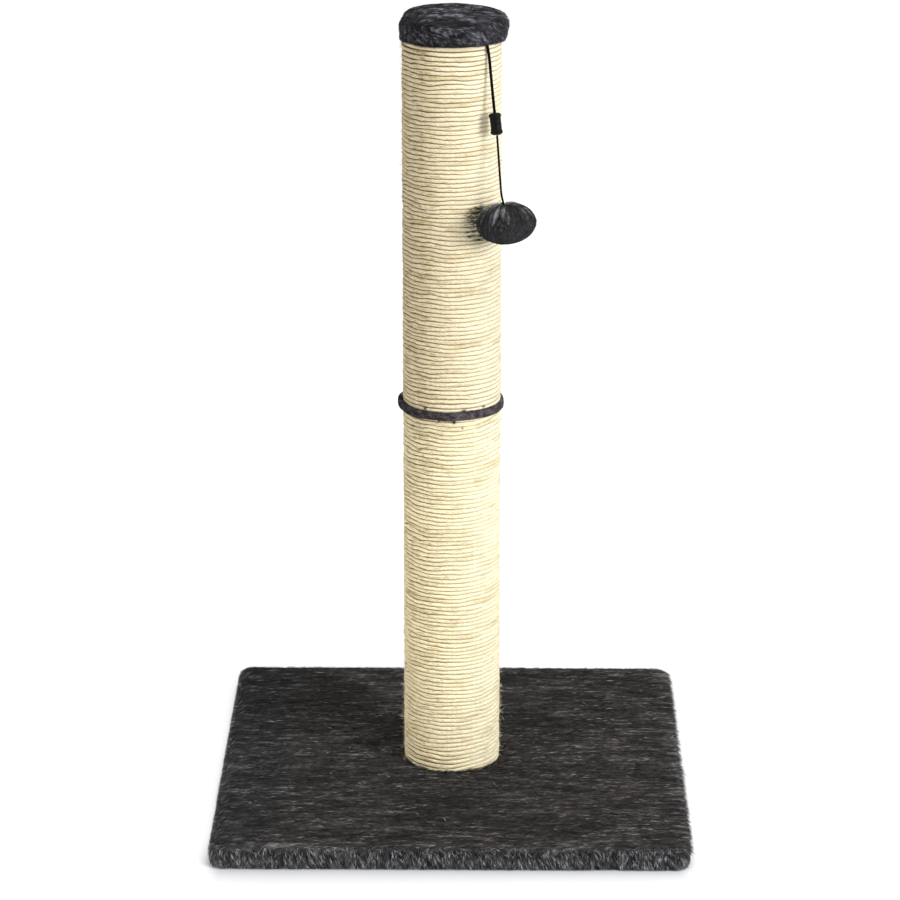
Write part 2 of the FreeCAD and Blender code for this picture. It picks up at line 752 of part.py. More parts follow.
def main():
    os.makedirs("parts", exist_ok=True)
    lower_nut = flipped(t_nut())
    lower_nut_cut = flipped(t_nut(FIT))
    screw_nut_level = foot_z + plug_length
    low_joint = joint_z - plug_length
    high_joint = joint_z + plug_length

    write("foot_pads", foot_pads())
    write("base_board", base_board())
    write("base_backing", base_backing())
    write("base_cover", base_cover())
    write("base_staples", Part.makeCompound(hem_staple_shapes()))
    write("base_washer", base_washer())
    write("base_screw", base_screw())

    write("lower_tube", tube(foot_z, joint_z,
                             [foot_z + plug_length / 2, joint_z - plug_length / 2]))
    write("lower_foot_plug", plug(foot_z, moved(t_nut(FIT), 0, 0, screw_nut_level)))
    write("lower_foot_t_nut", threaded(t_nut(), screw_nut_level))
    write("lower_head_plug", plug(low_joint, moved(lower_nut_cut, 0, 0, low_joint)))
    write("lower_head_t_nut", threaded(lower_nut, low_joint))
    write("joining_stud", joining_stud())
    write("upper_foot_plug", plug(joint_z, moved(t_nut(FIT), 0, 0, high_joint)))
    write("upper_foot_t_nut", threaded(t_nut(), high_joint))
    write("upper_tube", tube(joint_z, post_top,
                             [joint_z + plug_length / 2, post_top - plug_length / 2]))
    write("upper_head_plug", upper_head_plug())
    write("plug_staples", Part.makeCompound(
        [s for z in (foot_z, low_joint, joint_z, post_top - plug_length)
         for s in plug_staple_shapes(z + plug_length / 2)]))
    write("lower_rope_winding", lower_rope())
    write("upper_rope_winding", upper_rope())
    write("joint_band", joint_band())

    write("cap_board", cap_board())
    write("cap_screws", Part.makeCompound(cap_screw_shapes()))
    write("cap_padding", cap_padding())
    write("cap_cover", cap_cover())
    write("cap_staples", Part.makeCompound(cap_staple_shapes()))
    write("cord_root", cord_root_shape())
    write("cord_staple", cord_staple_shape())

    write("upper_cord", hung(upper_cord()))
    write("upper_knot", hung(upper_knot()))
    write("connector_socket", hung(connector_socket()))
    write("connector_plug", hung(connector_plug()))
    write("lower_knot", hung(lower_knot()))
    write("lower_cord", hung(lower_cord()))
    write("ball_knot", hung(ball_knot()))
    write("ball_cover", hung(ball_cover()))
    write("ball_filling", hung(ball_filling()))

    print("cord radii: root bend", cord_root_bend, "; upper and lower cord straight")
    print("cord exit radius", round(exit_radius, 3), "z", round(exit_z, 3),
          "slant", round(cord_slant, 4), "ball centre along", round(ball_along, 3))
    print("pivot of lower cord along", round(-pivot_z, 3), "post top", post_top)


def upper_head_plug():
    body = ring(plug_radius, 0, post_top - plug_length, post_top)
    return cut_all(body, cap_screw_shapes(FIT / 2)
                   + plug_staple_shapes(post_top - plug_length / 2, FIT))


main()
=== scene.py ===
# %% [markdown]
# # A cat scratching post with a hanging plush ball
#
# The CAD frame already holds every solid of the post at its true size. This lesson
# dresses that frame: soft things are rebuilt as what they are, rope as rope and plush
# as a skin with real pile on it, the connector in the cord gets its rounded edges, and
# the other hard things keep their CAD mesh and get a finish of their own. First the
# frame is loaded.
# Blender's own start-up cube goes first.

import json
import math

import bmesh
import bpy
import numpy as np
from mathutils import Matrix, Vector

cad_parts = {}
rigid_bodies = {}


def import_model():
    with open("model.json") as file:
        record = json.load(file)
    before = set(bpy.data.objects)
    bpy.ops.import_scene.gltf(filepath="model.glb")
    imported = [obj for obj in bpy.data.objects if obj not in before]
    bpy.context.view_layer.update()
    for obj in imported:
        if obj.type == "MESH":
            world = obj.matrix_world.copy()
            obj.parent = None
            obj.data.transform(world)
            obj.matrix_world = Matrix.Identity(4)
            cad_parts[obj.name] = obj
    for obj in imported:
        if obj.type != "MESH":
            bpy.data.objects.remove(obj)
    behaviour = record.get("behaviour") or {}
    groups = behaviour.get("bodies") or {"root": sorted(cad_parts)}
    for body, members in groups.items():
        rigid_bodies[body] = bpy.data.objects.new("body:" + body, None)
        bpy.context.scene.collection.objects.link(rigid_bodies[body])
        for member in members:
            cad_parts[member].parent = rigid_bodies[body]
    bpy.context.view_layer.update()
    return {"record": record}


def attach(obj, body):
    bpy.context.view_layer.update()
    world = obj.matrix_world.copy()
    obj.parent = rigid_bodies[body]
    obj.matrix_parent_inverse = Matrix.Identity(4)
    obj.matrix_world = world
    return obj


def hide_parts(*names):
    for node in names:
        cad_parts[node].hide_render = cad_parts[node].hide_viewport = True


for thing in list(bpy.data.objects):
    bpy.data.objects.remove(thing)
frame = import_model()
mm = 0.001

# %% [markdown]
# ## The camera
#
# The picture was taken with a long lens from about three metres, a little above the
# cap, looking down on the base. A long lens keeps upright lines almost parallel, so
# the post hardly narrows towards its foot.

# %% Camera
scene = bpy.context.scene
camera = bpy.data.objects.new("camera", bpy.data.cameras.new("camera"))
scene.collection.objects.link(camera)
camera.location = (0.02755, -2.78946, 1.24786)
looked_at = Vector((-0.00161, 0.0, 0.30200))
camera.rotation_euler = (looked_at - camera.location).to_track_quat("-Z", "Y").to_euler()
camera.data.sensor_width, camera.data.lens = 36.0, 137.03
scene.camera = camera
scene.view_settings.view_transform = "Standard"
print("camera distance:", round((looked_at - camera.location).length, 3), "m")

# %% [markdown]
# ## The hanging cord
#
# A braided cord comes out under the cap, runs down to a small black barrel connector
# and a thinner cord goes on to the ball. The ball leans on the rope, so the whole
# line slants outwards. Each cord is a NURBS spline through a few points on that line,
# with a small sideways bow where the real one bends over the rim and into the ball.
# A NURBS spline of order 3 bends smoothly, where straight runs would look like wire.
# The spline gives its own points first, as the path, and then, with a bevel, a mesh
# tube that keeps the spline's map for the braid.

# %% The line that the ball hangs on
turned = math.radians(42.8)                # right of the front, seen from above
away = Vector((math.sin(turned), -math.cos(turned), 0.0))
sideways = Vector((math.cos(turned), math.sin(turned), 0.0))
exit_radius, exit_height = 43.24, 660.7
rope_outside, ball_clear, ball_reach = 41.8, 0.4, 25.0
connector_top, connector_length, lower_length, ball_half = 54.3, 18.0, 55.5, 18.5
line_length = connector_top + connector_length + lower_length + ball_half
slant = math.asin((rope_outside + ball_clear + ball_reach - exit_radius) / line_length)
downwards = Vector((math.sin(slant) * away.x, math.sin(slant) * away.y, -math.cos(slant)))
cord_exit = (away * exit_radius + Vector((0, 0, exit_height))) * mm


def on_line(distance, aside=0.0):
    """The point this many millimetres down the hanging line, bowed aside by a few tenths."""
    return cord_exit + (downwards * distance + sideways * aside) * mm


print("slant of the hanging line:", round(math.degrees(slant), 2), "degrees")


# %% Cords as smooth splines
def spline_cord(name, node, points, radius, body):
    """A round cord along a NURBS spline, and the points of that spline."""
    curve = bpy.data.curves.new(name, "CURVE")
    curve.dimensions, curve.resolution_u = "3D", 10
    spline = curve.splines.new("NURBS")
    spline.points.add(len(points) - 1)
    for point, place in zip(spline.points, points):
        point.co = (*place, 1.0)
    spline.order_u, spline.use_endpoint_u = 3, True
    drawn = bpy.data.objects.new(name + "_spline", curve)
    scene.collection.objects.link(drawn)
    path = [v.co.copy() for v in bpy.data.meshes.new_from_object(drawn).vertices]
    curve.bevel_depth, curve.bevel_resolution, curve.use_fill_caps = radius * mm, 3, True
    tube = bpy.data.meshes.new_from_object(drawn)
    bpy.data.objects.remove(drawn)
    tube.shade_smooth()
    tube.materials.clear()
    cord = bpy.data.objects.new(name, tube)
    scene.collection.objects.link(cord)
    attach(cord, body)
    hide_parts(node)
    return cord, path


def path_length(path):
    return sum((b - a).length for a, b in zip(path, path[1:]))


upper_cord, upper_path = spline_cord(
    "braided_cord", "upper_cord",
    [on_line(0), on_line(4.0, 0.4), on_line(10, 0.65), on_line(22, 0.45), on_line(36, 0.1),
     on_line(48), on_line(56.1)], 1.2, "hanging_cord")
lower_cord, lower_path = spline_cord(
    "thin_cord", "lower_cord",
    [on_line(72.9), on_line(82, -0.4), on_line(96, -1.2), on_line(110, -1.9),
     on_line(122, -2.4), on_line(128, -1.2), on_line(134.8)], 0.9, "ball_cord")
under_cap = cord_exit + Vector((0, 0, 0.0043))
held_end, _ = spline_cord(
    "held_cord_end", "cord_root",
    [cord_exit, cord_exit + Vector((0, 0, 0.0022)), under_cap - away * 0.5 * mm,
     under_cap - away * 4 * mm, under_cap - away * 16.2 * mm], 1.1, "post")
print("cords in mm:", *(round(path_length(path) * 1000, 1) for path in (upper_path, lower_path)))


# %% [markdown]
# ## Materials, one node at a time
#
# Each surface gets a material of nodes. A small helper keeps the scripts of the
# finishes short: every method adds one node, joins its wires and gives back what
# comes out of it.


# %% A small helper for node materials
class Finish:
    """A material under construction. add() makes a node, sets its values and joins its wires."""

    def __init__(self, name, **sockets):
        self.material = bpy.data.materials.new(name)
        self.material.use_nodes = True
        self.tree = self.material.node_tree
        self.shader = self.tree.nodes["Principled BSDF"]
        for socket, value in sockets.items():
            self.shader.inputs[socket.replace("_", " ")].default_value = value

    def add(self, kind, wires=(), values=(), **settings):
        node = self.tree.nodes.new("ShaderNode" + kind)
        for name, value in settings.items():
            setattr(node, name, value)
        for socket, value in dict(values).items():
            node.inputs[socket].default_value = value
        for socket, wire in dict(wires).items():
            self.tree.links.new(wire, node.inputs[socket])
        return node

    def spot(self):
        """The place on the object, in metres."""
        return self.add("TexCoord").outputs["Object"]

    def split(self, wire):
        return self.add("SeparateXYZ", {0: wire}).outputs

    def in_map(self):
        """The place in the object's own map, as two wires."""
        return self.split(self.add("UVMap", uv_map="OFBake").outputs[0])

    def joined(self, *wires):
        return self.add("CombineXYZ", dict(enumerate(wires))).outputs[0]

    def noise(self, wire, scale, detail, roughness=0.5):
        values = {"Scale": scale, "Detail": detail, "Roughness": roughness}
        return self.add("TexNoise", {"Vector": wire}, values).outputs[0]

    def span(self, wire, low, high, to_low=0.0, to_high=1.0):
        """Turns one range of values into another, and holds the ends."""
        return self.add("MapRange", {0: wire}, {1: low, 2: high, 3: to_low, 4: to_high}).outputs[0]

    def sum(self, operation, a, b=None, c=None):
        """One step of arithmetic, on wires or numbers."""
        node = self.add("Math", operation=operation)
        for socket, value in zip(node.inputs, (a, b, c)):
            if isinstance(value, (int, float)):
                socket.default_value = value
            elif value is not None:
                self.tree.links.new(value, socket)
        return node.outputs[0]

    def times(self, a, b):
        return self.sum("MULTIPLY", a, b)

    def plus(self, a, b, c):
        """a times b, plus c."""
        return self.sum("MULTIPLY_ADD", a, b, c)

    def ramp(self, wire, stops, interpolation="LINEAR"):
        """A colour ramp; stops are (position, (r, g, b)), or (position, grey)."""
        node = self.add("ValToRGB", {0: wire})
        node.color_ramp.interpolation = interpolation
        while len(node.color_ramp.elements) < len(stops):
            node.color_ramp.elements.new(0.5)
        for element, (position, colour) in zip(node.color_ramp.elements, stops):
            colour = colour if isinstance(colour, tuple) else (colour,) * 3
            element.position, element.color = position, (*colour, 1.0)
        return node.outputs[0]

    def tint(self, a, b, factor=1.0):
        """Two colours multiplied; factor is a number or a wire."""
        node = self.add("Mix", data_type="RGBA", blend_type="MULTIPLY")
        for socket, value in ((0, factor), (6, a), (7, b)):
            if isinstance(value, (float, tuple)):
                node.inputs[socket].default_value = value
            else:
                self.tree.links.new(value, node.inputs[socket])
        return node.outputs[2]

    def paint(self, colour, roughness=None, bump=None, depth=0.0002, strength=1.0):
        """Joins colour, roughness and bump height to the shader."""
        self.tree.links.new(colour, self.shader.inputs["Base Color"])
        if roughness is not None:
            self.tree.links.new(roughness, self.shader.inputs["Roughness"])
        if bump is not None:
            node = self.add("Bump", {"Height": bump}, {"Strength": strength, "Distance": depth})
            self.tree.links.new(node.outputs[0], self.shader.inputs["Normal"])
        return self.material


def camera_sees(tree):
    """1 for rays from the camera, straight or through a mirror or glass, else 0."""
    path = tree.nodes.new("ShaderNodeLightPath")
    wire = path.outputs["Is Camera Ray"]
    for other in ("Is Glossy Ray", "Is Transmission Ray"):
        node = tree.nodes.new("ShaderNodeMath")
        node.operation = "MAXIMUM"
        tree.links.new(wire, node.inputs[0])
        tree.links.new(path.outputs[other], node.inputs[1])
        wire = node.outputs[0]
    return wire


# %% [markdown]
# ## Floor, background and lamps
#
# The studio is white. The floor is a plain pale sheet: for the camera it glows a
# little on top of what it reflects, so open floor comes out white while the soft
# contact shadow of the base stays. Close in front of the base it hardly glows, a
# painted shadow over the real one, and on the left it glows more, painted light over
# the key lamp's shadow. The world is white for the camera and for reflections, and a
# gentle grey light for everything else. One lamp stands right of the camera, so the
# rope is brightest right of its middle, and a small narrow one near the floor lights
# the foot of the post from the left.

# %% Floor
pale = Finish("pale_floor", Base_Color=(0.8, 0.8, 0.81, 1), Roughness=0.9)
mottle = pale.add("TexNoise", values={"Scale": 3.0, "Detail": 3.0}).outputs[0]
pale.paint(pale.ramp(mottle, [(0, (0.76, 0.76, 0.775)), (1, (0.80, 0.80, 0.81))]))
near_glow, far_glow, base_edge = 0.36, 0.72, 0.19
distance = pale.add("VectorMath", {0: pale.spot()}, operation="LENGTH").outputs["Value"]
place = pale.split(pale.spot())
# painted light: more glow on the left whitens the key lamp's shadow there
painted_left_light = pale.span(place[0], -base_edge, -0.225, 0.0, 0.22)
strength = pale.sum("MAXIMUM", pale.span(distance, 0.27, 0.55, near_glow, far_glow),
                    pale.sum("ADD", painted_left_light, near_glow))
# painted shadow: less glow in a strip just in front of the base
from_edge = pale.sum("ABSOLUTE", pale.sum("ADD", place[1], base_edge))
painted_front_shadow = pale.times(pale.span(from_edge, 0.016, 0.056, near_glow, 0.0),
                    pale.span(pale.sum("ABSOLUTE", place[0]), 0.192, 0.214, 1.0, 0.0))
strength = pale.times(camera_sees(pale.tree), pale.sum("SUBTRACT", strength, painted_front_shadow))
glow = pale.add("Emission", {"Strength": strength}, {"Color": (1, 1, 1, 1)})
both = pale.add("AddShader", {0: pale.shader.outputs[0], 1: glow.outputs[0]})
pale.tree.links.new(both.outputs[0], pale.tree.nodes["Material Output"].inputs[0])
bm = bmesh.new()
bmesh.ops.create_grid(bm, x_segments=1, y_segments=1, size=9.0)
floor = bpy.data.objects.new("floor", bpy.data.meshes.new("floor"))
bm.to_mesh(floor.data)
bm.free()
floor.data.materials.append(pale.material)
scene.collection.objects.link(floor)

# %% World and lamps
world = bpy.data.worlds.new("studio")
scene.world = world
world.use_nodes = True
tree = world.node_tree
seen = tree.nodes.new("ShaderNodeMix")
seen.inputs[2].default_value, seen.inputs[3].default_value = 0.28, 1.0
tree.links.new(camera_sees(tree), seen.inputs[0])
tree.links.new(seen.outputs[0], tree.nodes["Background"].inputs["Strength"])
tree.nodes["Background"].inputs["Color"].default_value = (1, 1, 1, 1)

white, middle = (1, 1, 1), (0.0, 0.0, 0.35)
for name, place, size, power, aim, colour, spread in (
        ("key_softbox", (2.0, -1.6, 1.2), 0.95, 63, middle, (0.965, 0.985, 1.0), 180),
        ("fill_softbox", (-2.2, -1.7, 0.8), 1.4, 19, middle, white, 180),
        ("top_softbox", (0.3, 0.5, 2.6), 1.6, 15, middle, white, 180),
        ("raking_softbox", (0.4, -0.9, 2.5), 0.7, 15, middle, white, 180),
        ("low_softbox", (-1.3, -1.15, 0.15), 0.3, 0.16, (-0.02, 0.0, 0.10), (1.0, 0.95, 0.86), 22)):
    lamp = bpy.data.objects.new(name, bpy.data.lights.new(name, "AREA"))
    lamp.data.shape, lamp.data.size, lamp.data.energy = "SQUARE", size, power
    lamp.data.color, lamp.data.spread = colour, math.radians(spread)
    lamp.location = place
    lamp.rotation_euler = (Vector(aim) - Vector(place)).to_track_quat("-Z", "Y").to_euler()
    scene.collection.objects.link(lamp)
    print(name, power, "W")

# %% [markdown]
# ## Clouds of random values
#
# Rope, plush and folds are never even. One helper gives smooth random values over
# space: a lattice of random numbers, read in between with a soft step. Everything
# that looks accidental below comes from it, always with a fixed seed, so that the
# post looks the same in each run. A few more helpers stand beside it: a ramp between
# two values, columns of numbers, and reading and moving the points of a mesh. The
# bmesh operators leave their faces in no fixed order, so the faces of each mesh are
# sorted before anything is scattered on them.


# %% Smooth random values
def soft_step(value):
    """0 up to 0, 1 from 1 on, and a soft S between."""
    value = np.clip(value, 0, 1)
    return value * value * (3 - 2 * value)


def cloud(points, size, seed):
    """Smooth random values between -1 and 1 at points; they change over the distance size."""
    spots = np.asarray(points, float) / np.asarray(size, float)
    cell = np.floor(spots).astype(int)
    part = soft_step(spots - cell)
    lattice = np.random.default_rng(seed).uniform(-1, 1, (64, 64, 64))
    value = np.zeros(len(spots))
    for corner in np.ndindex(2, 2, 2):
        weight = np.prod(np.where(corner, part, 1 - part), axis=1)
        x, y, z = ((cell + corner) % 64).T
        value += weight * lattice[x, y, z]
    return value


def rise(value, start, stop):
    """0 at start, 1 at stop, straight between and held outside; stop may be the smaller."""
    return np.clip((value - start) / (stop - start), 0, 1)


def columns(*values):
    return np.stack(np.broadcast_arrays(*values), 1)


def circle(angle):
    """Points on the unit circle round z."""
    return columns(np.cos(angle), np.sin(angle), 0.0)


def off_axis(points):
    return np.hypot(points[:, 0], points[:, 1])


def unit(rows):
    return rows / np.linalg.norm(rows, axis=1)[:, None]


test = cloud(np.random.default_rng(0).uniform(0, 1, (2000, 3)), 0.1, 1)
print("cloud spread:", round(float(test.std()), 2))


# %% Meshes: points, faces in order, pieces
def read(items, what, width=3):
    """One value of all items of a mesh, as rows of numbers."""
    values = np.empty(len(items) * width)
    items.foreach_get(what, values)
    return values.reshape(-1, width)


def points_of(thing):
    """The points of an object, in mm."""
    return read(thing.data.vertices, "co") / mm


def move_points(thing, points):
    """Moves the points of an object to new places, in mm."""
    thing.data.vertices.foreach_set("co", (points * mm).ravel())
    thing.data.update()


def in_order(bm, name):
    """The mesh of a bmesh with its faces sorted, each from its smallest point on."""
    made = bpy.data.meshes.new(name)
    bm.to_mesh(made)
    bm.free()
    faces = []
    for face in made.polygons:
        ring = list(zip(face.vertices, face.loop_indices))
        first = ring.index(min(ring))
        faces.append(ring[first:] + ring[:first])
    faces.sort(key=lambda ring: [vert for vert, _ in ring])
    mesh = bpy.data.meshes.new(name)
    mesh.from_pydata([vert.co for vert in made.vertices], [],
                     [[vert for vert, _ in ring] for ring in faces])
    if made.uv_layers:
        loops = [loop for ring in faces for _, loop in ring]
        places = read(made.uv_layers[0].data, "uv", 2)[loops]
        layer = mesh.uv_layers.new(name=made.uv_layers[0].name)
        layer.data.foreach_set("uv", places.ravel())
    bpy.data.meshes.remove(made)
    mesh.shade_smooth()
    return mesh


def piece(name, mesh, body, material):
    """An object that rides on a body and carries a finish; mesh may still be a bmesh."""
    if isinstance(mesh, bmesh.types.BMesh):
        mesh = in_order(mesh, name)
    mesh.materials.append(material)
    thing = bpy.data.objects.new(name, mesh)
    scene.collection.objects.link(thing)
    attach(thing, body)
    return thing


def made_solid(thing):
    """Applies the modifiers of an object to its mesh."""
    view = bpy.context.evaluated_depsgraph_get()
    mesh = bpy.data.meshes.new_from_object(thing.evaluated_get(view))
    thing.modifiers.clear()
    thing.data = mesh


def as_sheet(thing, node, thickness, **what):
    """Gives a skin the thickness of its cloth in mm, inwards, and hides the CAD node it replaces;
    what is not used.
    """
    cloth = thing.modifiers.new("cloth", "SOLIDIFY")
    cloth.thickness, cloth.offset = thickness * mm, -1.0
    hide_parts(node)


# %% [markdown]
# ## The rope
#
# Sisal rope of three strands is wound round each paper tube, turn against turn. One
# turn of the pressed rope is an oval, flat where it lies on the tube. The spin
# operator sweeps that oval once round and lifts it a little with each step (`dvec`),
# which makes one turn of a helix, and an Array modifier stacks the other turns on it
# and merges their ends. Its map offset gives each turn a row of its own in the map,
# so the finish can find its place along the rope and round it. The lower rope is
# paler. Painted shade lies between the turns and darkens the left side of both ropes,
# and on the left the painted shade between the turns is deeper.


# %% The rope's finish
def rope_finish(name, turns, fresh, left_shade_tint, grooves):
    """Cream sisal: strand marks that slant along the rope, darker between the strands as painted
    shade, fine fibres and, on the left, darker stretches as painted shade.

    fresh below 1 lightens the straw, channel by channel; the argument after it tints the
    left side as painted shade; grooves is how dark the painted shade at the turns' edges is on the
    right side."""
    finish = Finish(name, Roughness=0.86, Specular_IOR_Level=0.25)
    times, plus, tint = finish.times, finish.plus, finish.tint
    place = finish.in_map()
    rows = times(place[1], turns)
    row, round_it = finish.sum("FLOOR", rows), finish.sum("FRACT", rows)
    along = finish.sum("ADD", place[0], row)               # in turns from the rope's end
    phase = plus(round_it, 3.0, times(along, 61.0))
    strand = plus(finish.sum("SINE", times(phase, 2 * math.pi)), 0.5, 0.5)
    fine = finish.noise(finish.joined(plus(round_it, 1.6, times(along, 45.0)),
                                      plus(round_it, 26.0, times(along, -500.0)),
                                      times(row, 7.31)), 1.0, 3.0, 0.65)
    stained = finish.noise(finish.joined(times(along, 5.0), times(row, 0.37)), 1.0, 4.0)
    broken = finish.noise(finish.joined(times(along, 30.0), plus(round_it, 13.0, row),
                                        times(row, 3.7)), 1.0, 3.0, 0.6)
    stops = ((0.22, (0.60, 0.48, 0.28)), (0.40, (0.80, 0.72, 0.50)),
             (0.55, (0.88, 0.81, 0.62)), (0.78, (0.93, 0.90, 0.78)))
    straw = finish.ramp(fine, [(at, tuple(part ** power for part, power in zip(colour, fresh)))
                               for at, colour in stops])
    aged = finish.ramp(stained, [(0.30, (0.80, 0.74, 0.63)), (0.48, 1.0),
                                 (0.75, (1.0, 0.985, 0.94))])
    # painted shade: darker between the strands
    strand_shade = finish.ramp(strand, [(0.0, (0.92, 0.895, 0.85)), (0.4, 1.0)])
    left_dark_stretches = finish.ramp(broken, [(0.36, (0.50, 0.40, 0.27)), (0.45, 1.0)])
    # painted shade between the turns: where across a turn, a little uneven, then darkest at the
    # turns' edges
    worn = plus(finish.sum("ADD", fine, stained), 0.09, finish.sum("SUBTRACT", round_it, 0.09))
    darkest, dark = (0.20, 0.14, 0.08), (0.55, 0.45, 0.32)
    groove = finish.ramp(worn, [(0.5, darkest), (0.565, dark), (0.66, 1.0), (0.84, 1.0),
                                (0.935, dark), (1.0, darkest)])
    # painted shade on the left side, away from the key lamp: 1 on the left, 0 on the right
    left_shade = finish.span(finish.split(finish.spot())[0], 0.028, -0.024)
    deep = times(finish.span(broken, 0.32, 0.52, 0.15, 1.0), plus(left_shade, 1.0 - grooves, grooves))
    colour = tint(tint(straw, aged), strand_shade)
    # painted shade on the left: darker stretches and a brownish tint, laid only there
    colour = tint(tint(colour, left_dark_stretches, left_shade), (*left_shade_tint, 1.0), left_shade)
    # painted shade between the turns, deeper on the left
    colour = tint(tint(colour, groove, deep), groove, times(left_shade, 0.75))
    return finish.paint(colour, bump=plus(strand, 0.45, fine), depth=0.0004, strength=0.3)


# %% One winding: a turn by spin, the rest by array
rope_middle, half_thick, flat_at = 40.2, 1.6, 1.55
steps_a_turn, section = 96, 9


def rope_winding(name, node, first_height, pitch, turns, start, looks):
    """A helix of pressed rope round the z axis that begins at the angle start."""
    bm = bmesh.new()
    bmesh.ops.create_circle(bm, segments=section, radius=1.0)
    for vert in bm.verts:                  # an oval: flat towards the tube, full outside
        across, up = (math.copysign(abs(a) ** power, a)
                      for a, power in zip(vert.co.xy, (0.75, 0.85)))
        vert.co = (rope_middle + max(across * half_thick, -flat_at), 0.0,
                   first_height + up * pitch * 0.497)
    bmesh.ops.scale(bm, vec=(mm, mm, mm), verts=bm.verts)
    bmesh.ops.rotate(bm, cent=(0, 0, 0), matrix=Matrix.Rotation(start, 3, "Z"), verts=bm.verts)
    uv = bm.loops.layers.uv.new("OFBake")
    bmesh.ops.spin(bm, geom=bm.edges[:], cent=(0, 0, 0), axis=(0, 0, 1), angle=2 * math.pi,
                   dvec=(0, 0, pitch * mm / steps_a_turn), steps=steps_a_turn,
                   use_duplicate=False, use_merge=False)
    bm.verts.index_update()
    for face in bm.faces:
        places = [vert.index % section for vert in face.verts]
        wraps = max(places) - min(places) > 1
        for loop in face.loops:
            ring, round_it = divmod(loop.vert.index, section)
            round_it = section if wraps and round_it == 0 else round_it
            loop[uv].uv = (ring / steps_a_turn, (0.06 + 0.88 * round_it / section) / turns)
    sisal = rope_finish(name + "_sisal", turns, *looks)
    winding = piece(name, bm, "post", sisal)
    stack = winding.modifiers.new("turns", "ARRAY")
    stack.count, stack.use_relative_offset, stack.use_constant_offset = turns, False, True
    stack.constant_offset_displace = (0, 0, pitch * mm)
    stack.use_merge_vertices, stack.merge_threshold = True, 0.00002
    stack.offset_v = 1.0 / turns
    made_solid(winding)
    bm = bmesh.new()
    bm.from_mesh(winding.data)
    rims = [edge for edge in bm.edges if edge.is_boundary]
    bmesh.ops.holes_fill(bm, edges=rims, sides=section)
    bmesh.ops.recalc_face_normals(bm, faces=bm.faces)
    winding.data = in_order(bm, name)
    winding.data.materials.append(sisal)
    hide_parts(node)
    return winding


def slackened(winding, first_height, last_height, pitch, turns, start, seed):
    """Lays the first and last turns level, and gives all of them the wander of hand winding."""
    points = points_of(winding)
    angle = np.arctan2(points[:, 1], points[:, 0])
    part = np.mod((angle - start) / (2 * math.pi) + 1e-4, 1.0)
    turn = np.round((points[:, 2] - first_height) / pitch - part)
    for level, turns_away in ((soft_step((part - 0.9) / 0.1), turn),
                              (soft_step(part / 0.1), turns - 1 - turn)):
        points[:, 2] += pitch * (level - part) * np.exp(-np.maximum(turns_away, 0) / 5)
    from_ends = np.minimum(points[:, 2] - first_height, last_height - points[:, 2])
    loose = rise(from_ends, 0, 12) * (1 + 0.8 * rise(points[:, 0], 0, -40))
    points[:, 2] += loose * (0.85 * cloud(points, (20, 20, 15), seed)
                             + 0.50 * cloud(points, (9, 9, 4.2), seed + 1)
                             + 0.26 * cloud(points, (4, 4, 2.7), seed + 4))
    push = 1 + (0.42 * cloud(points, (18, 18, 3.4), seed + 2)
                + 0.20 * cloud(points, (4.5, 4.5, 3.0), seed + 3)) / rope_middle
    points[:, :2] *= push[:, None]
    move_points(winding, points)
    return off_axis(points).max()


# looks: how the straw is lightened, the tint of the painted shade on the left, and how dark the
# painted shade between the turns is on the right
for name, node, first, last, turns, start, seed, looks in (
        ("lower_sisal_rope", "lower_rope_winding", 18.8, 346.0, 88, math.radians(-63), 3,
         ((0.5, 0.62, 0.85), (1.0, 0.97, 0.89), 0.16)),
        ("upper_sisal_rope", "upper_rope_winding", 346.2, 660.1, 84, math.radians(118), 9,
         ((1.0, 1.0, 1.0), (0.97, 0.93, 0.84), 0.4))):
    pitch = (last - first) / turns
    winding = rope_winding(name, node, first, pitch, turns, start, looks)
    reach = slackened(winding, first, last, pitch, turns, start, seed)
    print(name, len(winding.data.polygons), "faces, widest radius", round(reach, 2), "mm")

# %% [markdown]
# ## Blades of pile and fibre
#
# Plush is a backing cloth with thousands of cut hairs, and sisal rope sheds stiff
# fibres. At this scale a clump of hairs reads as one narrow blade. A blade is a strip
# of two faces from the grid operator, drawn to a point at its tip. Copying it with
# bmesh a hundred thousand times would take minutes, so numpy places the copies: each
# has its root, the way it is combed, its length, width and how far its tip stands up.
# The map of a blade holds its colour: how light it is from left to right, and from
# root to tip inside one of four bands of hue. All blades of a sort share one finish.

# %% The blade, made once
bm = bmesh.new()
bmesh.ops.create_grid(bm, x_segments=1, y_segments=2, size=0.5)
bmesh.ops.translate(bm, vec=(0, 0.5, 0), verts=bm.verts)
tip = [vert for vert in bm.verts if vert.co.y > 0.9]
bmesh.ops.pointmerge(bm, verts=tip, merge_co=(0, 1, 0))
bm.verts.index_update()
blade_points = np.array([vert.co for vert in bm.verts])
blade_faces = [[vert.index for vert in face.verts] for face in bm.faces]
bm.free()
print("blade:", len(blade_points), "points,", len(blade_faces), "faces")


# %% Scattering roots
def scatter(thing, count, seed, keep=None):
    """Random roots spread evenly over an object, the smooth normals there, and the roots in mm.

    keep, if given, says which of the places in mm stay."""
    mesh = thing.data
    corners = np.array([(face.vertices[0], *pair) for face in mesh.polygons
                        for pair in zip(face.vertices[1:], face.vertices[2:])])
    spots, normals = read(mesh.vertices, "co"), read(mesh.vertex_normals, "vector")
    a, b, c = (spots[corners[:, k]] for k in range(3))
    area = np.linalg.norm(np.cross(b - a, c - a), axis=1)
    random = np.random.default_rng(seed)
    pick = random.choice(len(area), count, p=area / area.sum())
    u, v = random.random((2, count))
    over = u + v > 1
    u[over], v[over] = 1 - u[over], 1 - v[over]
    weights = columns(1 - u - v, u, v)[:, :, None]
    roots = (spots[corners[pick]] * weights).sum(1)
    outward = unit((normals[corners[pick]] * weights).sum(1))
    kept = slice(None) if keep is None else keep(roots / mm)
    return roots[kept], outward[kept], roots[kept] / mm


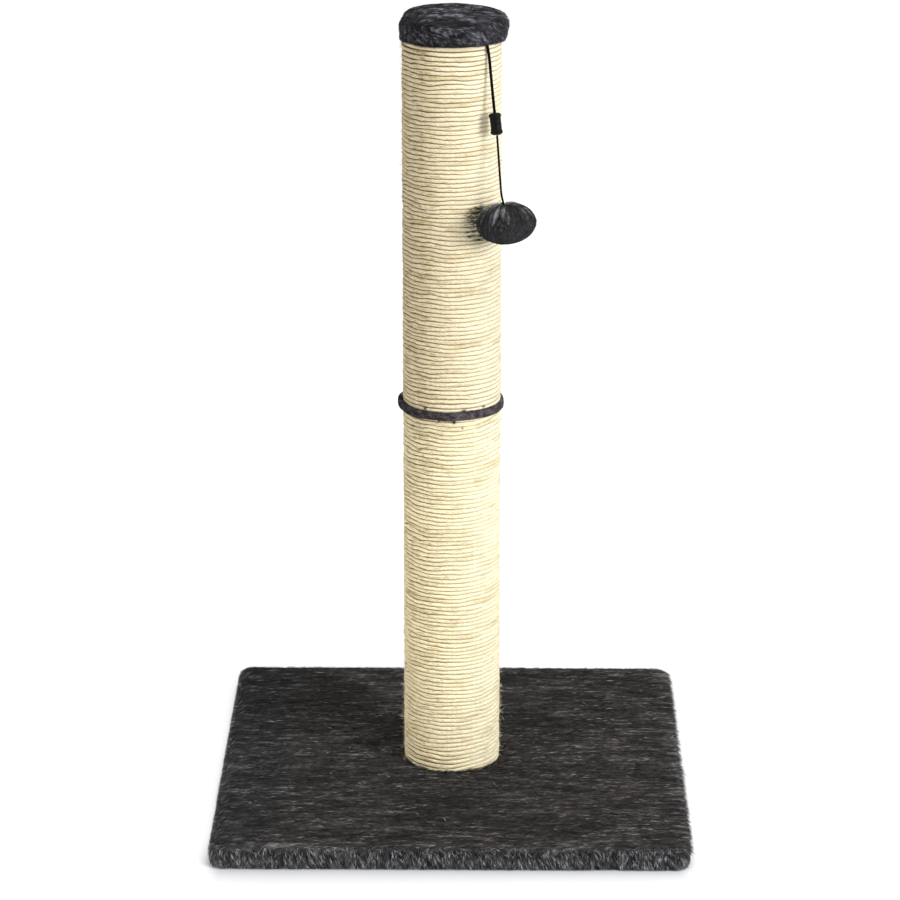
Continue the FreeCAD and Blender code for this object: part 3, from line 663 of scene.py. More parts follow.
# %% Growing blades
def grow(name, where, comb, length, width, lift, tone, hue, stuff, seed,
         curl=0.35, lowest=0.3, lie=0.0):
    """One piece of blades at (roots, outward), with numbers in mm for each blade.

    lift is how far the tip stands up, stuff is (body, slot, material), of which the slot is not
    used, curl bends the blades aside, none goes below the height lowest, and lie bends their tips
    down."""
    roots, outward = where
    random = np.random.default_rng(seed)
    count = len(roots)
    length, width, lift, tone, hue = (np.broadcast_to(np.asarray(a, float), count)
                                      for a in (length, width, lift, tone, hue))
    longer = random.random(count) < 0.08   # a few longer, lighter hairs stand out of any pile
    length, tone = length * (1 + 0.25 * longer), tone + 0.3 * longer
    along = comb - (comb * outward).sum(1)[:, None] * outward
    along /= np.linalg.norm(along, axis=1)[:, None] + 1e-9
    aside = np.cross(along, outward)
    roll = random.normal(0, 0.45, count)
    flat = aside * np.cos(roll)[:, None] + outward * np.sin(roll)[:, None]
    x, y = blade_points[:, 0], blade_points[:, 1]
    bend = random.normal(0, curl, count)
    forward = length[:, None] * y[None]
    up = lift[:, None] * ((1.7 + lie) * y - (0.7 + lie) * y * y)[None]
    swerve = length[:, None] * bend[:, None] * (y * y)[None] * 0.5
    across = width[:, None] * x[None]
    points = roots[:, None, :] + mm * (
        along[:, None, :] * forward[..., None] + outward[:, None, :] * up[..., None]
        + aside[:, None, :] * swerve[..., None] + flat[:, None, :] * across[..., None])
    points[:, :, 2] = np.maximum(points[:, :, 2], lowest * mm)
    mesh = bpy.data.meshes.new(name)
    corners = np.array([i for face in blade_faces for i in face])
    starts = np.cumsum([0] + [len(face) for face in blade_faces])[:-1]
    shift = np.arange(count)[:, None]
    of_corners = (corners[None] + shift * len(blade_points)).ravel().astype(np.int32)
    of_faces = (starts[None] + shift * len(corners)).ravel().astype(np.int32)
    mesh.vertices.add(count * len(blade_points))
    mesh.vertices.foreach_set("co", points.ravel())
    mesh.loops.add(len(of_corners))
    mesh.loops.foreach_set("vertex_index", of_corners)
    mesh.polygons.add(len(of_faces))
    mesh.polygons.foreach_set("loop_start", of_faces)
    mesh.update(calc_edges=True)
    colours = np.empty((count, len(corners), 2))
    colours[:, :, 0] = np.clip(tone, 0.01, 0.99)[:, None] + x[corners][None] * 0.012
    colours[:, :, 1] = (hue[:, None] + 0.12 + 0.76 * y[corners][None]) / 4
    mesh.uv_layers.new(name="OFBake").data.foreach_set("uv", colours.ravel())
    body, slot, material = stuff
    return piece(name, mesh, body, material)


# %% [markdown]
# ## Plush finishes
#
# The pile's colour comes from its map alone: a ramp from nearly black to grey for the
# light and dark clumps, darker roots as painted shade deep in the pile and paler tips,
# and four hues: neutral charcoal, a browner one, a bluer one and a pale one for worn
# tips. Sheen gives the soft rim that cut pile has. The backing cloth below is darker
# still, as painted shade, because it shows between the clumps.


# %% Pile and backing
def root_to_tip(finish, height, stops):
    """Painted shade from root to tip, darkest at the root, inside whichever band of hue a blade
    has.
    """
    return finish.ramp(finish.sum("FRACT", finish.times(height, 4.0)), stops)


def pile_finish(name, darkest, middle, lightest, sheen=0.07):
    finish = Finish(name, Roughness=0.75, Specular_IOR_Level=0.14, Sheen_Weight=sheen,
                    Sheen_Roughness=0.4)
    place = finish.in_map()
    clump = finish.ramp(place[0], [
        (0.0, darkest), (0.28, tuple(m * 0.35 for m in middle)), (0.52, middle),
        (0.78, tuple(m * 2.6 for m in middle)), (1.0, lightest)])
    hue = finish.ramp(place[1], [(0.0, 1.0), (0.25, (1.10, 0.99, 0.90)),
                                 (0.5, (0.98, 1.0, 1.06)), (0.75, (1.6, 1.55, 1.5))], "CONSTANT")
    # painted shade: darker at the root, paler at the tip
    shade = root_to_tip(finish, place[1], [(0.1, 0.45), (0.5, 0.9), (0.9, 1.25)])
    return finish.paint(finish.tint(finish.tint(clump, hue), shade))


def backing_finish(name, dark, light, scale=900.0):
    finish = Finish(name, Roughness=0.95, Specular_IOR_Level=0.15, Sheen_Weight=0.15,
                    Sheen_Roughness=0.5)
    spot = finish.spot()
    knit, broad = finish.noise(spot, scale, 4.0, 0.7), finish.noise(spot, 35.0, 3.0)
    cloth = finish.ramp(knit, [(0.3, dark), (0.7, light)])
    patches = finish.ramp(broad, [(0.3, 0.75), (0.7, (1.15, 1.13, 1.1))])
    return finish.paint(finish.tint(cloth, patches), bump=knit, depth=0.0006)


base_pile = pile_finish("base_pile", 0.003, (0.040, 0.0375, 0.0365), (0.30, 0.29, 0.29))
# painted light: the same plush as on the top, in a lighter copy for the pile over the edges
lit_edge_pile = pile_finish("base_edge_pile", (0.005, 0.005, 0.0055), (0.064, 0.064, 0.065),
                        (0.52, 0.52, 0.53), 0.1)
cap_pile = pile_finish("cap_pile", (0.004, 0.004, 0.005), (0.044, 0.043, 0.048),
                       (0.42, 0.41, 0.44), 0.1)
ball_pile = pile_finish("ball_pile", (0.004, 0.004, 0.0045), (0.044, 0.044, 0.045),
                        (0.38, 0.38, 0.39), 0.08)
band_pile = pile_finish("band_pile", (0.012, 0.010, 0.012), (0.070, 0.062, 0.070),
                        (0.30, 0.28, 0.31), 0.1)
# painted shade: the backing is darker than the pile where it shows between the clumps
plush_backing = backing_finish("plush_backing", (0.004, 0.004, 0.0045), (0.016, 0.016, 0.017))
band_backing = backing_finish("band_backing", (0.014, 0.013, 0.015), (0.045, 0.042, 0.047))

# %% [markdown]
# ## The base cover
#
# One square of plush lies on the board, goes round its edges and is stapled under it.
# Its skin is drawn as rings: a round one at the bolt hole, round ones in the place
# that the post presses down, rings that grow from round to square over the top, and
# square ones over the edge, down the side and under the board. Each ring is the last
# one extruded and moved, and Solidify gives the cloth its thickness.

# %% Rings from round to square
half, corner_radius = 199.2, 10.5
inner = half - corner_radius
quarter = [math.atan2(y, half) for y in np.linspace(-inner, inner, 56)[:-1]] + [
    math.atan2(inner + corner_radius * math.sin(a), inner + corner_radius * math.cos(a))
    for a in np.linspace(0, math.pi / 2, 7)[:-1]]
ring_angles = np.array([a + k * math.pi / 2 for k in range(4) for a in quarter])


def square_reach(angle, half, corner):
    """How far a rounded square of this half width reaches at an angle from its middle."""
    x, y = abs(math.cos(angle)), abs(math.sin(angle))
    straight_reach = half / max(x, y)
    inner = half - corner
    if straight_reach * min(x, y) <= inner:
        return straight_reach
    dot = (x + y) * inner
    return dot + math.sqrt(max(dot * dot - 2 * inner * inner + corner * corner, 0))


def ring_points(size, height, square=0.0, corner=corner_radius):
    """One ring: round with square=0, where size is its radius, to square with square=1."""
    points = []
    for angle in ring_angles:
        reach = size * (1 - square) + square_reach(angle, size, min(corner, size)) * square
        points.append((reach * math.cos(angle) * mm, reach * math.sin(angle) * mm, height * mm))
    return points


def lofted(rings):
    """A skin through rings of equal count: each is the last one extruded and moved."""
    bm = bmesh.new()
    bmesh.ops.create_circle(bm, segments=len(rings[0]), radius=1.0)
    for vert, place in zip(bm.verts, rings[0]):
        vert.co = place
    edges, verts = bm.edges[:], bm.verts[:]
    for places in rings[1:]:
        made = bmesh.ops.extrude_edge_only(bm, edges=edges)["geom"]
        bm.verts.index_update()
        edges = [part for part in made if isinstance(part, bmesh.types.BMEdge)]
        fresh = {part for part in made if isinstance(part, bmesh.types.BMVert)}
        verts = [next(edge.other_vert(vert) for edge in vert.link_edges
                      if edge.other_vert(vert) in fresh) for vert in verts]
        for vert, place in zip(verts, places):
            vert.co = place
    bmesh.ops.recalc_face_normals(bm, faces=bm.faces)
    return bm


# %% The cover's skin
skin_top, pressed, foot, edge_radius = 18.8, 16.9, 47, 6
rings = [ring_points(4.4, pressed), ring_points(20, pressed), ring_points(38, pressed),
         ring_points(42.0, 16.95), ring_points(43.6, 17.6), ring_points(foot, skin_top)]
for share in np.arange(1, 17) / 16:
    rings.append(ring_points(foot + (half - edge_radius - foot) * share, skin_top,
                             min(1, 0.15 + share * 1.1)))
for a in np.radians([25, 50, 75, 90]):
    rings.append(ring_points(half - edge_radius + edge_radius * math.sin(a),
                             skin_top - edge_radius + edge_radius * math.cos(a), 1.0))
for outwards, height, corner in (
        (0.25, 9.5, corner_radius), (0.2, 6.8, corner_radius), (0.0, 4.4, corner_radius),
        (-0.4, 2.5, corner_radius), (-2.2, 1.4, corner_radius), (-6, 1.3, corner_radius),
        (-20, 1.6, 14)):
    rings.append(ring_points(half + outwards, height, 1.0, corner))
rings.append(ring_points(165.4, 1.9, 1.0, 4))
base_cover = piece("base_plush_cover", lofted(rings), "post", plush_backing)
points = points_of(base_cover)
on_top = (points[:, 2] > 17) * rise(off_axis(points), 46, 66)
points[:, 2] += on_top * 0.45 * cloud(points, (55, 55, 60), 21)
fold = rise(np.abs(points[:, :2]).max(1), 190, 198) * (points[:, 2] > 1.35)
bulge = 0.5 * cloud(points, (26, 26, 30), 22) + 0.25 * cloud(points, (11, 11, 12), 23)
points[:, :2] *= (1 + fold * bulge / 198)[:, None]
points[:, 2] += fold * (points[:, 2] < 17) * 0.3 * cloud(points, (19, 19, 30), 24)
move_points(base_cover, points)
if base_cover.data.polygons[0].normal.z < 0:
    base_cover.data.flip_normals()
print("base cover:", len(base_cover.data.polygons), "faces")

# %% [markdown]
# ## Pile of the base
#
# The pile on the top is combed from left to right and lies nearly flat, in streaks,
# and is painted lighter towards its edges. Over the edges it falls outwards and down,
# longer, in tufts that lean to one side, painted lighter for the light it catches and
# with painted shade low down near the floor. Round the foot of the post it is pressed.

# %% Pile on the top
roots, outward, spot = scatter(base_cover, 260000, 31,
                               lambda at: (at[:, 2] > 16.0) & (off_axis(at) > 42.2))
count, out, edge = len(spot), off_axis(spot), np.abs(spot[:, :2]).max(1)
streak = (cloud(spot, (10, 1.8, 30), 32) * 0.7 + cloud(spot, (24, 3.3, 30), 38) * 0.42
          + cloud(spot, (50, 16, 60), 33) * 0.3)
random = np.random.default_rng(34)
swerving = 0.08 * cloud(spot, (28, 14, 30), 35) + random.normal(0, 0.06, count)
comb = columns(1.0, swerving, 0.0)
# painted highlight: the top's pile lighter towards its edges
tone = 0.36 + 0.50 * streak + random.normal(0, 0.15, count) + 0.16 * rise(edge, 180, 198)
right_front = rise(spot[:, 0] - spot[:, 1], 0, 260) * (out < 190)
hue = np.where(random.random(count) < 0.25 + 0.55 * right_front, 1.0, 0.0)
hue = np.where((spot[:, 0] < -150) & (random.random(count) < 0.6), 2.0, hue)
hue = np.where((out < 52) & (random.random(count) < 0.8), 1.0, hue)
specks = random.random(count) < 0.0012 + 0.004 * (cloud(spot, (16, 16, 30), 37) > 0.55)
hue, tone = np.where(specks, 3.0, hue), np.where(specks, 0.85, tone)
length = random.uniform(4.5, 8, count) * (1 + 0.45 * rise(spot[:, 0], 186, 196))
worn = 1 + 0.25 * cloud(spot, (40, 30, 60), 36)
lift = np.maximum(random.uniform(0.3, 0.95, count) * worn + 0.25 * streak, 0.2)
lift = np.where(out < 46, random.uniform(1.0, 3.4, count), np.where(out < 52, 0.8, lift))
a_quarter = count // 4
from_front = np.argsort(spot[:, 1])
base_piles = []
for k in range(4):
    own = from_front[k * a_quarter:(k + 1) * a_quarter]
    base_piles.append(grow(
        f"base_pile_{k + 1}", (roots[own], outward[own]), comb[own], length[own],
        random.uniform(0.35, 0.7, len(own)), lift[own], tone[own], hue[own],
        ("post", "base_plush", base_pile), 40 + k, 0.25, lie=1.2))
print("blades on the top:", 4 * a_quarter)

# %% Pile round the edges and the sides
roots, outward, spot = scatter(
    base_cover, 470000, 51,
    lambda at: (np.abs(at[:, :2]).max(1) > 191.5) & (at[:, 2] < 18.5))
some = np.random.default_rng(52).permutation(len(spot))[:64000]
roots, outward, spot = (a[some] for a in (roots, outward, spot))
random = np.random.default_rng(53)
count, flat_spot = len(spot), spot * (1, 1, 0)
lean = 0.25 + 0.65 * cloud(flat_spot, (5, 5, 9), 54) + random.normal(0, 0.2, count)
low = rise(spot[:, 2], 16.5, 11.5)
comb = columns(lean * (0.4 + 0.6 * low), 0.1 * random.normal(0, 1, count), -0.15 - 1.1 * low)
comb[:, :2] += outward[:, :2] * (0.6 * (1 - low))[:, None]
slanted = spot + spot[:, 2:] * np.array([0.5, 0, 0])
tuft = cloud(slanted, (0.75, 0.75, 5), 55) + 0.3 * cloud(spot, (4, 4, 9), 58)
# painted shade: the pile darker low down, near the floor
tone = 0.44 + 0.55 * tuft + random.normal(0, 0.12, count) - 0.25 * rise(spot[:, 2], 4.5, 1.0)
hue = np.where(random.random(count) < 0.45, 2.0, 0.0)
length = random.uniform(3.0, 5.8, count) * (0.6 + 0.45 * rise(spot[:, 2], 0, 7))
base_piles.append(grow(
    "base_edge_pile", (roots, outward), comb, length, random.uniform(0.28, 0.6, count),
    random.uniform(0.9, 2.4, count), tone, hue, ("post", "base_plush", lit_edge_pile), 56))
as_sheet(base_cover, "base_cover", 1.5, flat=(0.51, 0.51), held="stretched",
         rests_on=["base_board"], with_pieces=base_piles)
print("blades at the edges:", count)

# %% [markdown]
# ## The sheet under the base
#
# A thin felt sheet closes the underside inside the turned-under plush. It has a hole
# for the bolt in its middle, so it is the same round-to-square loft, only flat.

# %% Felt sheet
felt = backing_finish("backing_felt", (0.012, 0.012, 0.014), (0.06, 0.06, 0.065), 1500.0)
bolt_hole, felt_half = 13.2, 162.9
bm = lofted([ring_points(bolt_hole + (felt_half - bolt_hole) * k / 10, 3.5, k / 10, 2.0)
             for k in range(11)])
bmesh.ops.reverse_faces(bm, faces=[face for face in bm.faces if face.normal.z > 0])
felt_sheet = piece("backing_sheet", bm, "post", felt)
as_sheet(felt_sheet, "base_backing", 0.45, flat=(0.326, 0.326), held="stretched",
         rests_on=["base_board"])

# %% [markdown]
# ## The cap
#
# A round board and a foam disc are covered with one round of plush, pulled down over
# the edge and stapled underneath. Its outline is spun round the axis. Hand pulling
# leaves it a little uneven, so the skin is pushed about by a cloud. Inside it the
# foam is a low crowned pad.


# %% Spun shapes
def spun(outline, steps=96):
    """A skin from an outline of (radius, height) in mm, spun once round z, closed at the poles."""
    bm = bmesh.new()
    verts = [bm.verts.new((r * mm, 0, z * mm)) for r, z in outline]
    edges = [bm.edges.new(pair) for pair in zip(verts, verts[1:])]
    bmesh.ops.spin(bm, geom=verts + edges, cent=(0, 0, 0), axis=(0, 0, 1), angle=2 * math.pi,
                   steps=steps, use_merge=True, use_duplicate=False)
    bmesh.ops.remove_doubles(bm, verts=bm.verts, dist=0.00001)
    bmesh.ops.recalc_face_normals(bm, faces=bm.faces)
    return bm


def bow(centre, radius, first, last, count):
    """Points on an arc; angles in degrees, 0 outwards and 90 up."""
    return [(centre[0] + radius * math.cos(math.radians(a)),
             centre[1] + radius * math.sin(math.radians(a)))
            for a in np.linspace(first, last, count)]


# %% Cap cover
outline = [(28.0, 662.9), (32, 662.7), (36, 662.6), (39.5, 662.6)]
outline += bow((40.8, 665.0), 2.5, -80, -5, 6) + [(43.3, 667.5), (43.3, 670.5)]
outline += bow((35, 673.1), 8.4, 0, 84, 12)
outline += [(r, 681.9 + 1.3 * (1 - (r / 35) ** 2)) for r in np.linspace(33, 0, 12)]
cap_cover = piece("cap_plush_cover", spun(outline), "post", plush_backing)
points = points_of(cap_cover)
soft = rise(points[:, 2], 664, 670)
shift = 0.55 * cloud(points, (22, 22, 12), 61) + 0.25 * cloud(points, (9, 9, 7), 62)
points[:, :2] *= 1 + (soft * shift / 43)[:, None]
fuller = 1.1 * rise(points[:, 0], -18, -42) ** 2 + 1.3 * rise(points[:, 0], 18, 42) ** 2
points[:, 0] += rise(points[:, 2], 661.5, 665.5) * fuller
points[:, 2] += (soft * 0.4 * cloud(points, (18, 18, 30), 63)
                 - soft * 1.2 * rise(points[:, 0], -20, -44) ** 2)
move_points(cap_cover, points)

# %% Pile of the cap
roots, outward, spot = (a[:62000] for a in scatter(
    cap_cover, 88000, 64, lambda at: (at[:, 2] > 664.0) | (off_axis(at) > 40)))
random = np.random.default_rng(65)
count, side = len(spot), rise(off_axis(spot), 33, 42)
swerving = 0.35 * cloud(spot, (13, 9, 12), 66) + random.normal(0, 0.15, count)
falling = 0.25 * cloud(spot, (6, 6, 5), 60) - 0.5 - 0.6 * rise(spot[:, 0], 10, 40)
comb = columns(1.0, swerving, falling * side)
comb[:, :2] += outward[:, :2] * 0.1
streak = (cloud(spot, (3.6, 1.6, 1.0), 67) * side
          + 1.35 * cloud(spot, (4.2, 3.4, 30), 59) * (1 - side)
          + 0.25 * cloud(spot, (9, 4, 3), 68))
# painted shade: the pile darker low on the cap's side, under its rim
tone = (0.37 + 0.60 * streak + random.normal(0, 0.12, count)
        - 0.40 * rise(spot[:, 2], 667.5, 664.5))
length = np.minimum(random.uniform(3.4, 6.4, count),
                    np.maximum((spot[:, 2] - 661.2) / 0.8, 1.2) + 5 * (1 - side))
cap_blades = grow(
    "cap_pile", (roots, outward), comb, length, random.uniform(0.25, 0.52, count),
    random.uniform(0.8, 1.9, count) * np.maximum(rise(spot[:, 2], 661.5, 669.5), 0.2), tone,
    np.where(random.random(count) < 0.6, 2.0, 0.0), ("post", "cap_plush", cap_pile), 69, lie=0.7)
as_sheet(cap_cover, "cap_cover", 0.6, flat=(0.142, 0.142), area=0.0158, held="stretched",
         rests_on=["cap_board"], with_pieces=[cap_blades])

# %% Foam under the cap's cover
foam_finish = backing_finish("foam", (0.60, 0.56, 0.47), (0.78, 0.75, 0.68), 1800.0)
outline = [(0, 672.1), (20, 672.1), (39.5, 672.1)] + bow((37.5, 674.5), 2.9, -50, 0, 4)
outline += bow((35, 675.0), 5.2, 10, 85, 6) + [(25, 680.6), (12, 681.1), (0, 681.2)]
foam = piece("cap_foam", spun(outline, 64), "post", foam_finish)
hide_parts("cap_padding")
print("cap blades:", count, "foam faces:", len(foam.data.polygons))

# %% [markdown]
# ## The connector in the cord
#
# A small black barrel in two halves joins the cords and comes apart when it is
# pulled, so that nothing gets caught. Each half is one closed outline spun round the
# hanging line: a collar with chamfered shoulders, a slightly narrower body, and
# inside a bore in the upper half and a hollow nose on the lower one. A Bevel modifier
# rounds its edges.

# %% Connector halves
plastic = Finish("black_plastic", Roughness=0.42, Specular_IOR_Level=0.07)
speckle = plastic.noise(plastic.spot(), 1600.0, 3.0)
plastic.paint(plastic.ramp(speckle, [(0.3, 0.002), (0.7, 0.005)]),
              plastic.plus(speckle, 0.2, 0.34), speckle, 0.00006)
hang_turn = (-downwards).to_track_quat("Z", "X").to_matrix().to_4x4()


def onto_line(thing, place):
    """Turns a thing made upright at the origin onto the hanging line, its origin at place."""
    thing.data.transform(Matrix.Translation(place) @ hang_turn)
    thing.data.update()


def connector_half(name, node, body, outline):
    """outline is (radius, distance down the line) in mm, closed."""
    shell = spun([(r, -d) for r, d in outline + outline[:1]], 40)
    half_piece = piece(name, shell, body, plastic.material)
    half_piece.data.shade_flat()
    onto_line(half_piece, cord_exit)
    rounded = half_piece.modifiers.new("rounded", "BEVEL")
    rounded.width, rounded.segments = 0.25 * mm, 3
    rounded.limit_method, rounded.angle_limit = "ANGLE", math.radians(25)
    made_solid(half_piece)
    half_piece.data.shade_smooth()
    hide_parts(node)
    return half_piece


socket = connector_half("connector_upper_half", "connector_socket", "hanging_cord", [
    (1.25, 54.3), (3.5, 54.3), (5.15, 55.7), (5.2, 56.9), (4.65, 58.0), (4.55, 60.5), (4.6, 63.3),
    (3.12, 63.3), (3.12, 56.1), (1.25, 56.1)])
tail = connector_half("connector_lower_half", "connector_plug", "connector_tail", [
    (0.9, 72.3), (3.5, 72.3), (5.15, 70.9), (5.2, 69.7), (4.65, 68.6), (4.55, 66.0), (4.6, 63.4),
    (3.0, 63.4), (3.0, 58.8), (1.8, 58.8), (1.8, 69.7), (0.9, 69.7)])
print("connector faces:", len(socket.data.polygons), len(tail.data.polygons))

# %% [markdown]
# ## The band over the joint
#
# A strip of grey plush is glued round the post where the two sections meet. It is a
# flat ring with rounded edges that a cloud makes slightly wavy, with short pile, and
# a few loose fluffs that cling to the rope beside it.

# %% Band and its pile
outline = [(42.5, 342.6)] + bow((42.4, 344.1), 1.5, -80, -10, 5) + [(44.0, 346.0)]
outline += bow((42.4, 347.9), 1.5, 10, 80, 5)
outline += [(42.5, 349.4), (41.7, 348.6), (41.6, 346.0), (41.7, 343.4), (42.5, 342.6)]
band = piece("joint_plush_band", spun(outline, 120), "post", band_backing)
points = points_of(band)
wave = 0.75 * cloud(points, (17, 17, 60), 71) + 0.3 * cloud(points, (7, 7, 60), 72)
points[:, 2] += rise(off_axis(points), 38.5, 40.5) * wave
slack_end = rise(points[:, 0], -30, -44) ** 2
points[:, 2] += slack_end
push = (0.3 * cloud(points, (12, 12, 9), 73) + 1.6 * slack_end) * (off_axis(points) > 41.5)
points[:, :2] *= 1 + (push / 43)[:, None]
move_points(band, points)
roots, outward, spot = scatter(band, 30000, 74, lambda at: off_axis(at) > 41.6)
random = np.random.default_rng(75)
count = len(spot)
comb = columns(-spot[:, 1], spot[:, 0], random.normal(0, 14, count))
band_blades = grow(
    "band_pile", (roots, outward), comb, random.uniform(1.6, 3.2, count),
    random.uniform(0.22, 0.45, count), random.uniform(0.3, 0.8, count),
    0.42 + 0.3 * cloud(spot, (4, 4, 2), 76) + random.normal(0, 0.15, count),
    np.where(random.random(count) < 0.4, 1.0, 0.0), ("post", "band_plush", band_pile), 77)
print("band blades:", count)

# %% Fluffs beside the band, as (degrees, height, count)
spots = np.array([(-122, 351.2, 30), (-75, 350.6, 34), (-50, 351.9, 12), (-87, 340.7, 36),
                  (-77, 335.2, 10), (-141, 333.0, 8), (-104, 341.2, 14), (18, 351.0, 24),
                  (64, 340.9, 30), (112, 350.9, 18), (161, 336.5, 9), (176, 340.6, 26)])
tangle = np.repeat(spots[:, :2] * (math.pi / 180, 1), spots[:, 2].astype(int), 0)
tangle += random.normal(0, 1, tangle.shape) * (0.012, 0.42)
outward = circle(tangle[:, 0])
roots = (outward * 41.7 + columns(0, 0, tangle[:, 1])) * mm
grow("band_fluffs", (roots, outward), random.normal(0, 1, (len(roots), 3)), 1.6, 0.3,
     random.uniform(0.1, 0.9, len(roots)), random.uniform(0, 0.25, len(roots)), 0.0,
     ("post", "band_plush", band_pile), 78, 1.2)
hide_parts("joint_band")

# %% [markdown]
# ## The ball
#
# The ball is a round of plush gathered over its filling and tied at the top, flatter
# than it is wide. The skin is spun from its outline with a dimple where the cord goes
# in, and the gathers are folds that run out from the tie and fade towards the waist.
# It is made upright at the origin, then turned onto the hanging line.


# %% Outline and gathers of the ball
def oval_outline(radius, half_height, dimple, count):
    """Half an oval from its foot to a dimple at its top."""
    points = []
    for angle in np.radians(np.linspace(-90, 90, count)):
        r, z = radius * math.cos(angle), half_height * math.sin(angle)
        if z > 0:
            z -= dimple * math.exp(-(r / 5.0) ** 2)
        points.append((r if abs(angle) < 1.57 else 0.0, z))
    return points


def gathers(points):
    """How far the folds from the tie push the skin out, from -1 to 1, fading to the waist."""
    angle = np.arctan2(points[:, 1], points[:, 0])
    ring = circle(angle)
    high = np.clip(points[:, 2] / ball_half * 1.1 + 0.05, 0, 1)
    wander = 1.6 * cloud(ring * 1.7 + columns(0, 0, points[:, 2] / 9), 1.0, 81)
    folds = np.cos(12 * angle + 4 * wander) + 0.9 * np.cos(26 * angle - 5 * wander + 1)
    strength = np.clip(0.55 + 1.0 * cloud(ring * 1.6, 1.0, 82), 0.05, 1.3)
    return folds / 1.6 * high ** 1.1 * strength


# %% Ball skin
skin = spun(oval_outline(24.3, 17.0, 1.2, 49), 192)
ball_skin = piece("ball_plush_cover", skin, "ball", plush_backing)
points = points_of(ball_skin)
reach = off_axis(points)
push = 1.6 * gathers(points) * rise(reach, 0, 6) - 0.5
points *= 1 + (push / np.maximum(np.linalg.norm(points, axis=1), 5))[:, None]
points += 0.25 * cloud(points, (9, 9, 9), 83)[:, None] * np.sign(points) * (reach > 3)[:, None]
move_points(ball_skin, points)

# %% Pile of the ball
roots, outward, spot = scatter(ball_skin, 50000, 84)
random = np.random.default_rng(85)
count, reach = len(spot), off_axis(spot)
angle = np.arctan2(spot[:, 1], spot[:, 0])
comb = columns(np.cos(angle), np.sin(angle), -0.15 - 1.6 * rise(reach, 0, 24))
swerving = cloud(spot, (7, 7, 7), 86) + random.normal(0, 0.25, count)
comb += 0.22 * columns(-np.sin(angle), np.cos(angle), 0.0) * swerving[:, None]
strand = 0.8 * cloud(spot, (1.2, 1.2, 2.6), 87) + 0.5 * cloud(spot, (4, 4, 6), 89)
# painted light and shade: lighter on the gathers' ridges and towards the top, darker between the
# folds
tone = (0.33 + 0.85 * gathers(spot) + 0.12 * strand + random.normal(0, 0.06, count)
        + 0.10 * rise(spot[:, 2], 0, 12))
under = spot[:, 2] < -15.5
comb[under] += random.normal(0, 0.8, (under.sum(), 3))
ball_blades = grow(
    "ball_pile", (roots, outward), comb,
    random.uniform(2.2, 4.2, count) * np.maximum(rise(reach, 0, 5), 0.4),
    random.uniform(0.25, 0.5, count), random.uniform(0.2, 0.6, count), tone,
    np.where(random.random(count) < 0.3, 2.0, 0.0), ("ball", "ball_plush", ball_pile), 88,
    lowest=-99)
print("ball blades:", count)

# %% Filling, and the ball onto its line
fluff = backing_finish("fibre_filling", (0.66, 0.65, 0.60), (0.86, 0.85, 0.82), 700.0)
pad = spun(oval_outline(20.6, 14.4, 1.0, 25), 64)
stuffing = piece("ball_stuffing", pad, "ball", fluff)
for soft in (ball_skin, ball_blades, stuffing):
    onto_line(soft, on_line(line_length))
as_sheet(ball_skin, "ball_cover", 0.8, flat=(0.094, 0.094), area=0.0069, held="gathered",
         rests_on=["ball_filling"], with_pieces=[ball_blades])
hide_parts("ball_filling")
print("ball at mm:", [round(v / mm, 1) for v in on_line(line_length)])

# %% [markdown]
# ## Loose fibres of the rope
#
# Sisal is stiff and never quite tidy. Short fibres stand off the rope, more of them
# at its foot, and some have fallen on the base. The ball rubs the rope clean where it
# swings, so none stand there. Dark pile like its own is laid in the grooves left of
# it, thickest next to it, partly pile it rubbed off and partly its painted shadow.

# %% Dark pile rubbed off by the ball, laid as its painted shadow
ball_side = turned - math.pi / 2           # the ball's side, as an angle from +X
random = np.random.default_rng(101)
count = 330
angle = ball_side - 0.02 - 0.44 * random.beta(1.9, 2.6, count)
height = 513 + 13 * random.uniform(-1, 1, count) * (1.35 + (angle - ball_side))
outward = circle(angle)
comb = columns(np.sin(angle), -np.cos(angle), random.normal(0, 0.03, count))
grow("rubbed_pile", ((outward * 41.8 + columns(0, 0, height)) * mm, outward), comb,
     random.uniform(2, 6, count), random.uniform(0.16, 0.34, count),
     random.uniform(0.05, 0.4, count), random.uniform(0.02, 0.4, count), 1.0,
     ("post", "ball_plush", ball_pile), 102, 0.1)

# %% Sisal fibres on the rope
fibre_finish = Finish("sisal_fibre", Roughness=0.7, Specular_IOR_Level=0.3)
place = fibre_finish.in_map()
fibre_tone = fibre_finish.ramp(place[0], [(0.0, (0.50, 0.38, 0.20)), (0.5, (0.80, 0.70, 0.48)),
                                          (1.0, (0.92, 0.87, 0.72))])
# painted shade: the fibres darker at the root
fibre_tip = root_to_tip(fibre_finish, place[1], [(0.1, (0.86, 0.84, 0.80)), (0.9, 1.0)])
fibre_finish.paint(fibre_finish.tint(fibre_tone, fibre_tip))
fibre_stuff = ("post", "sisal_rope", fibre_finish.material)


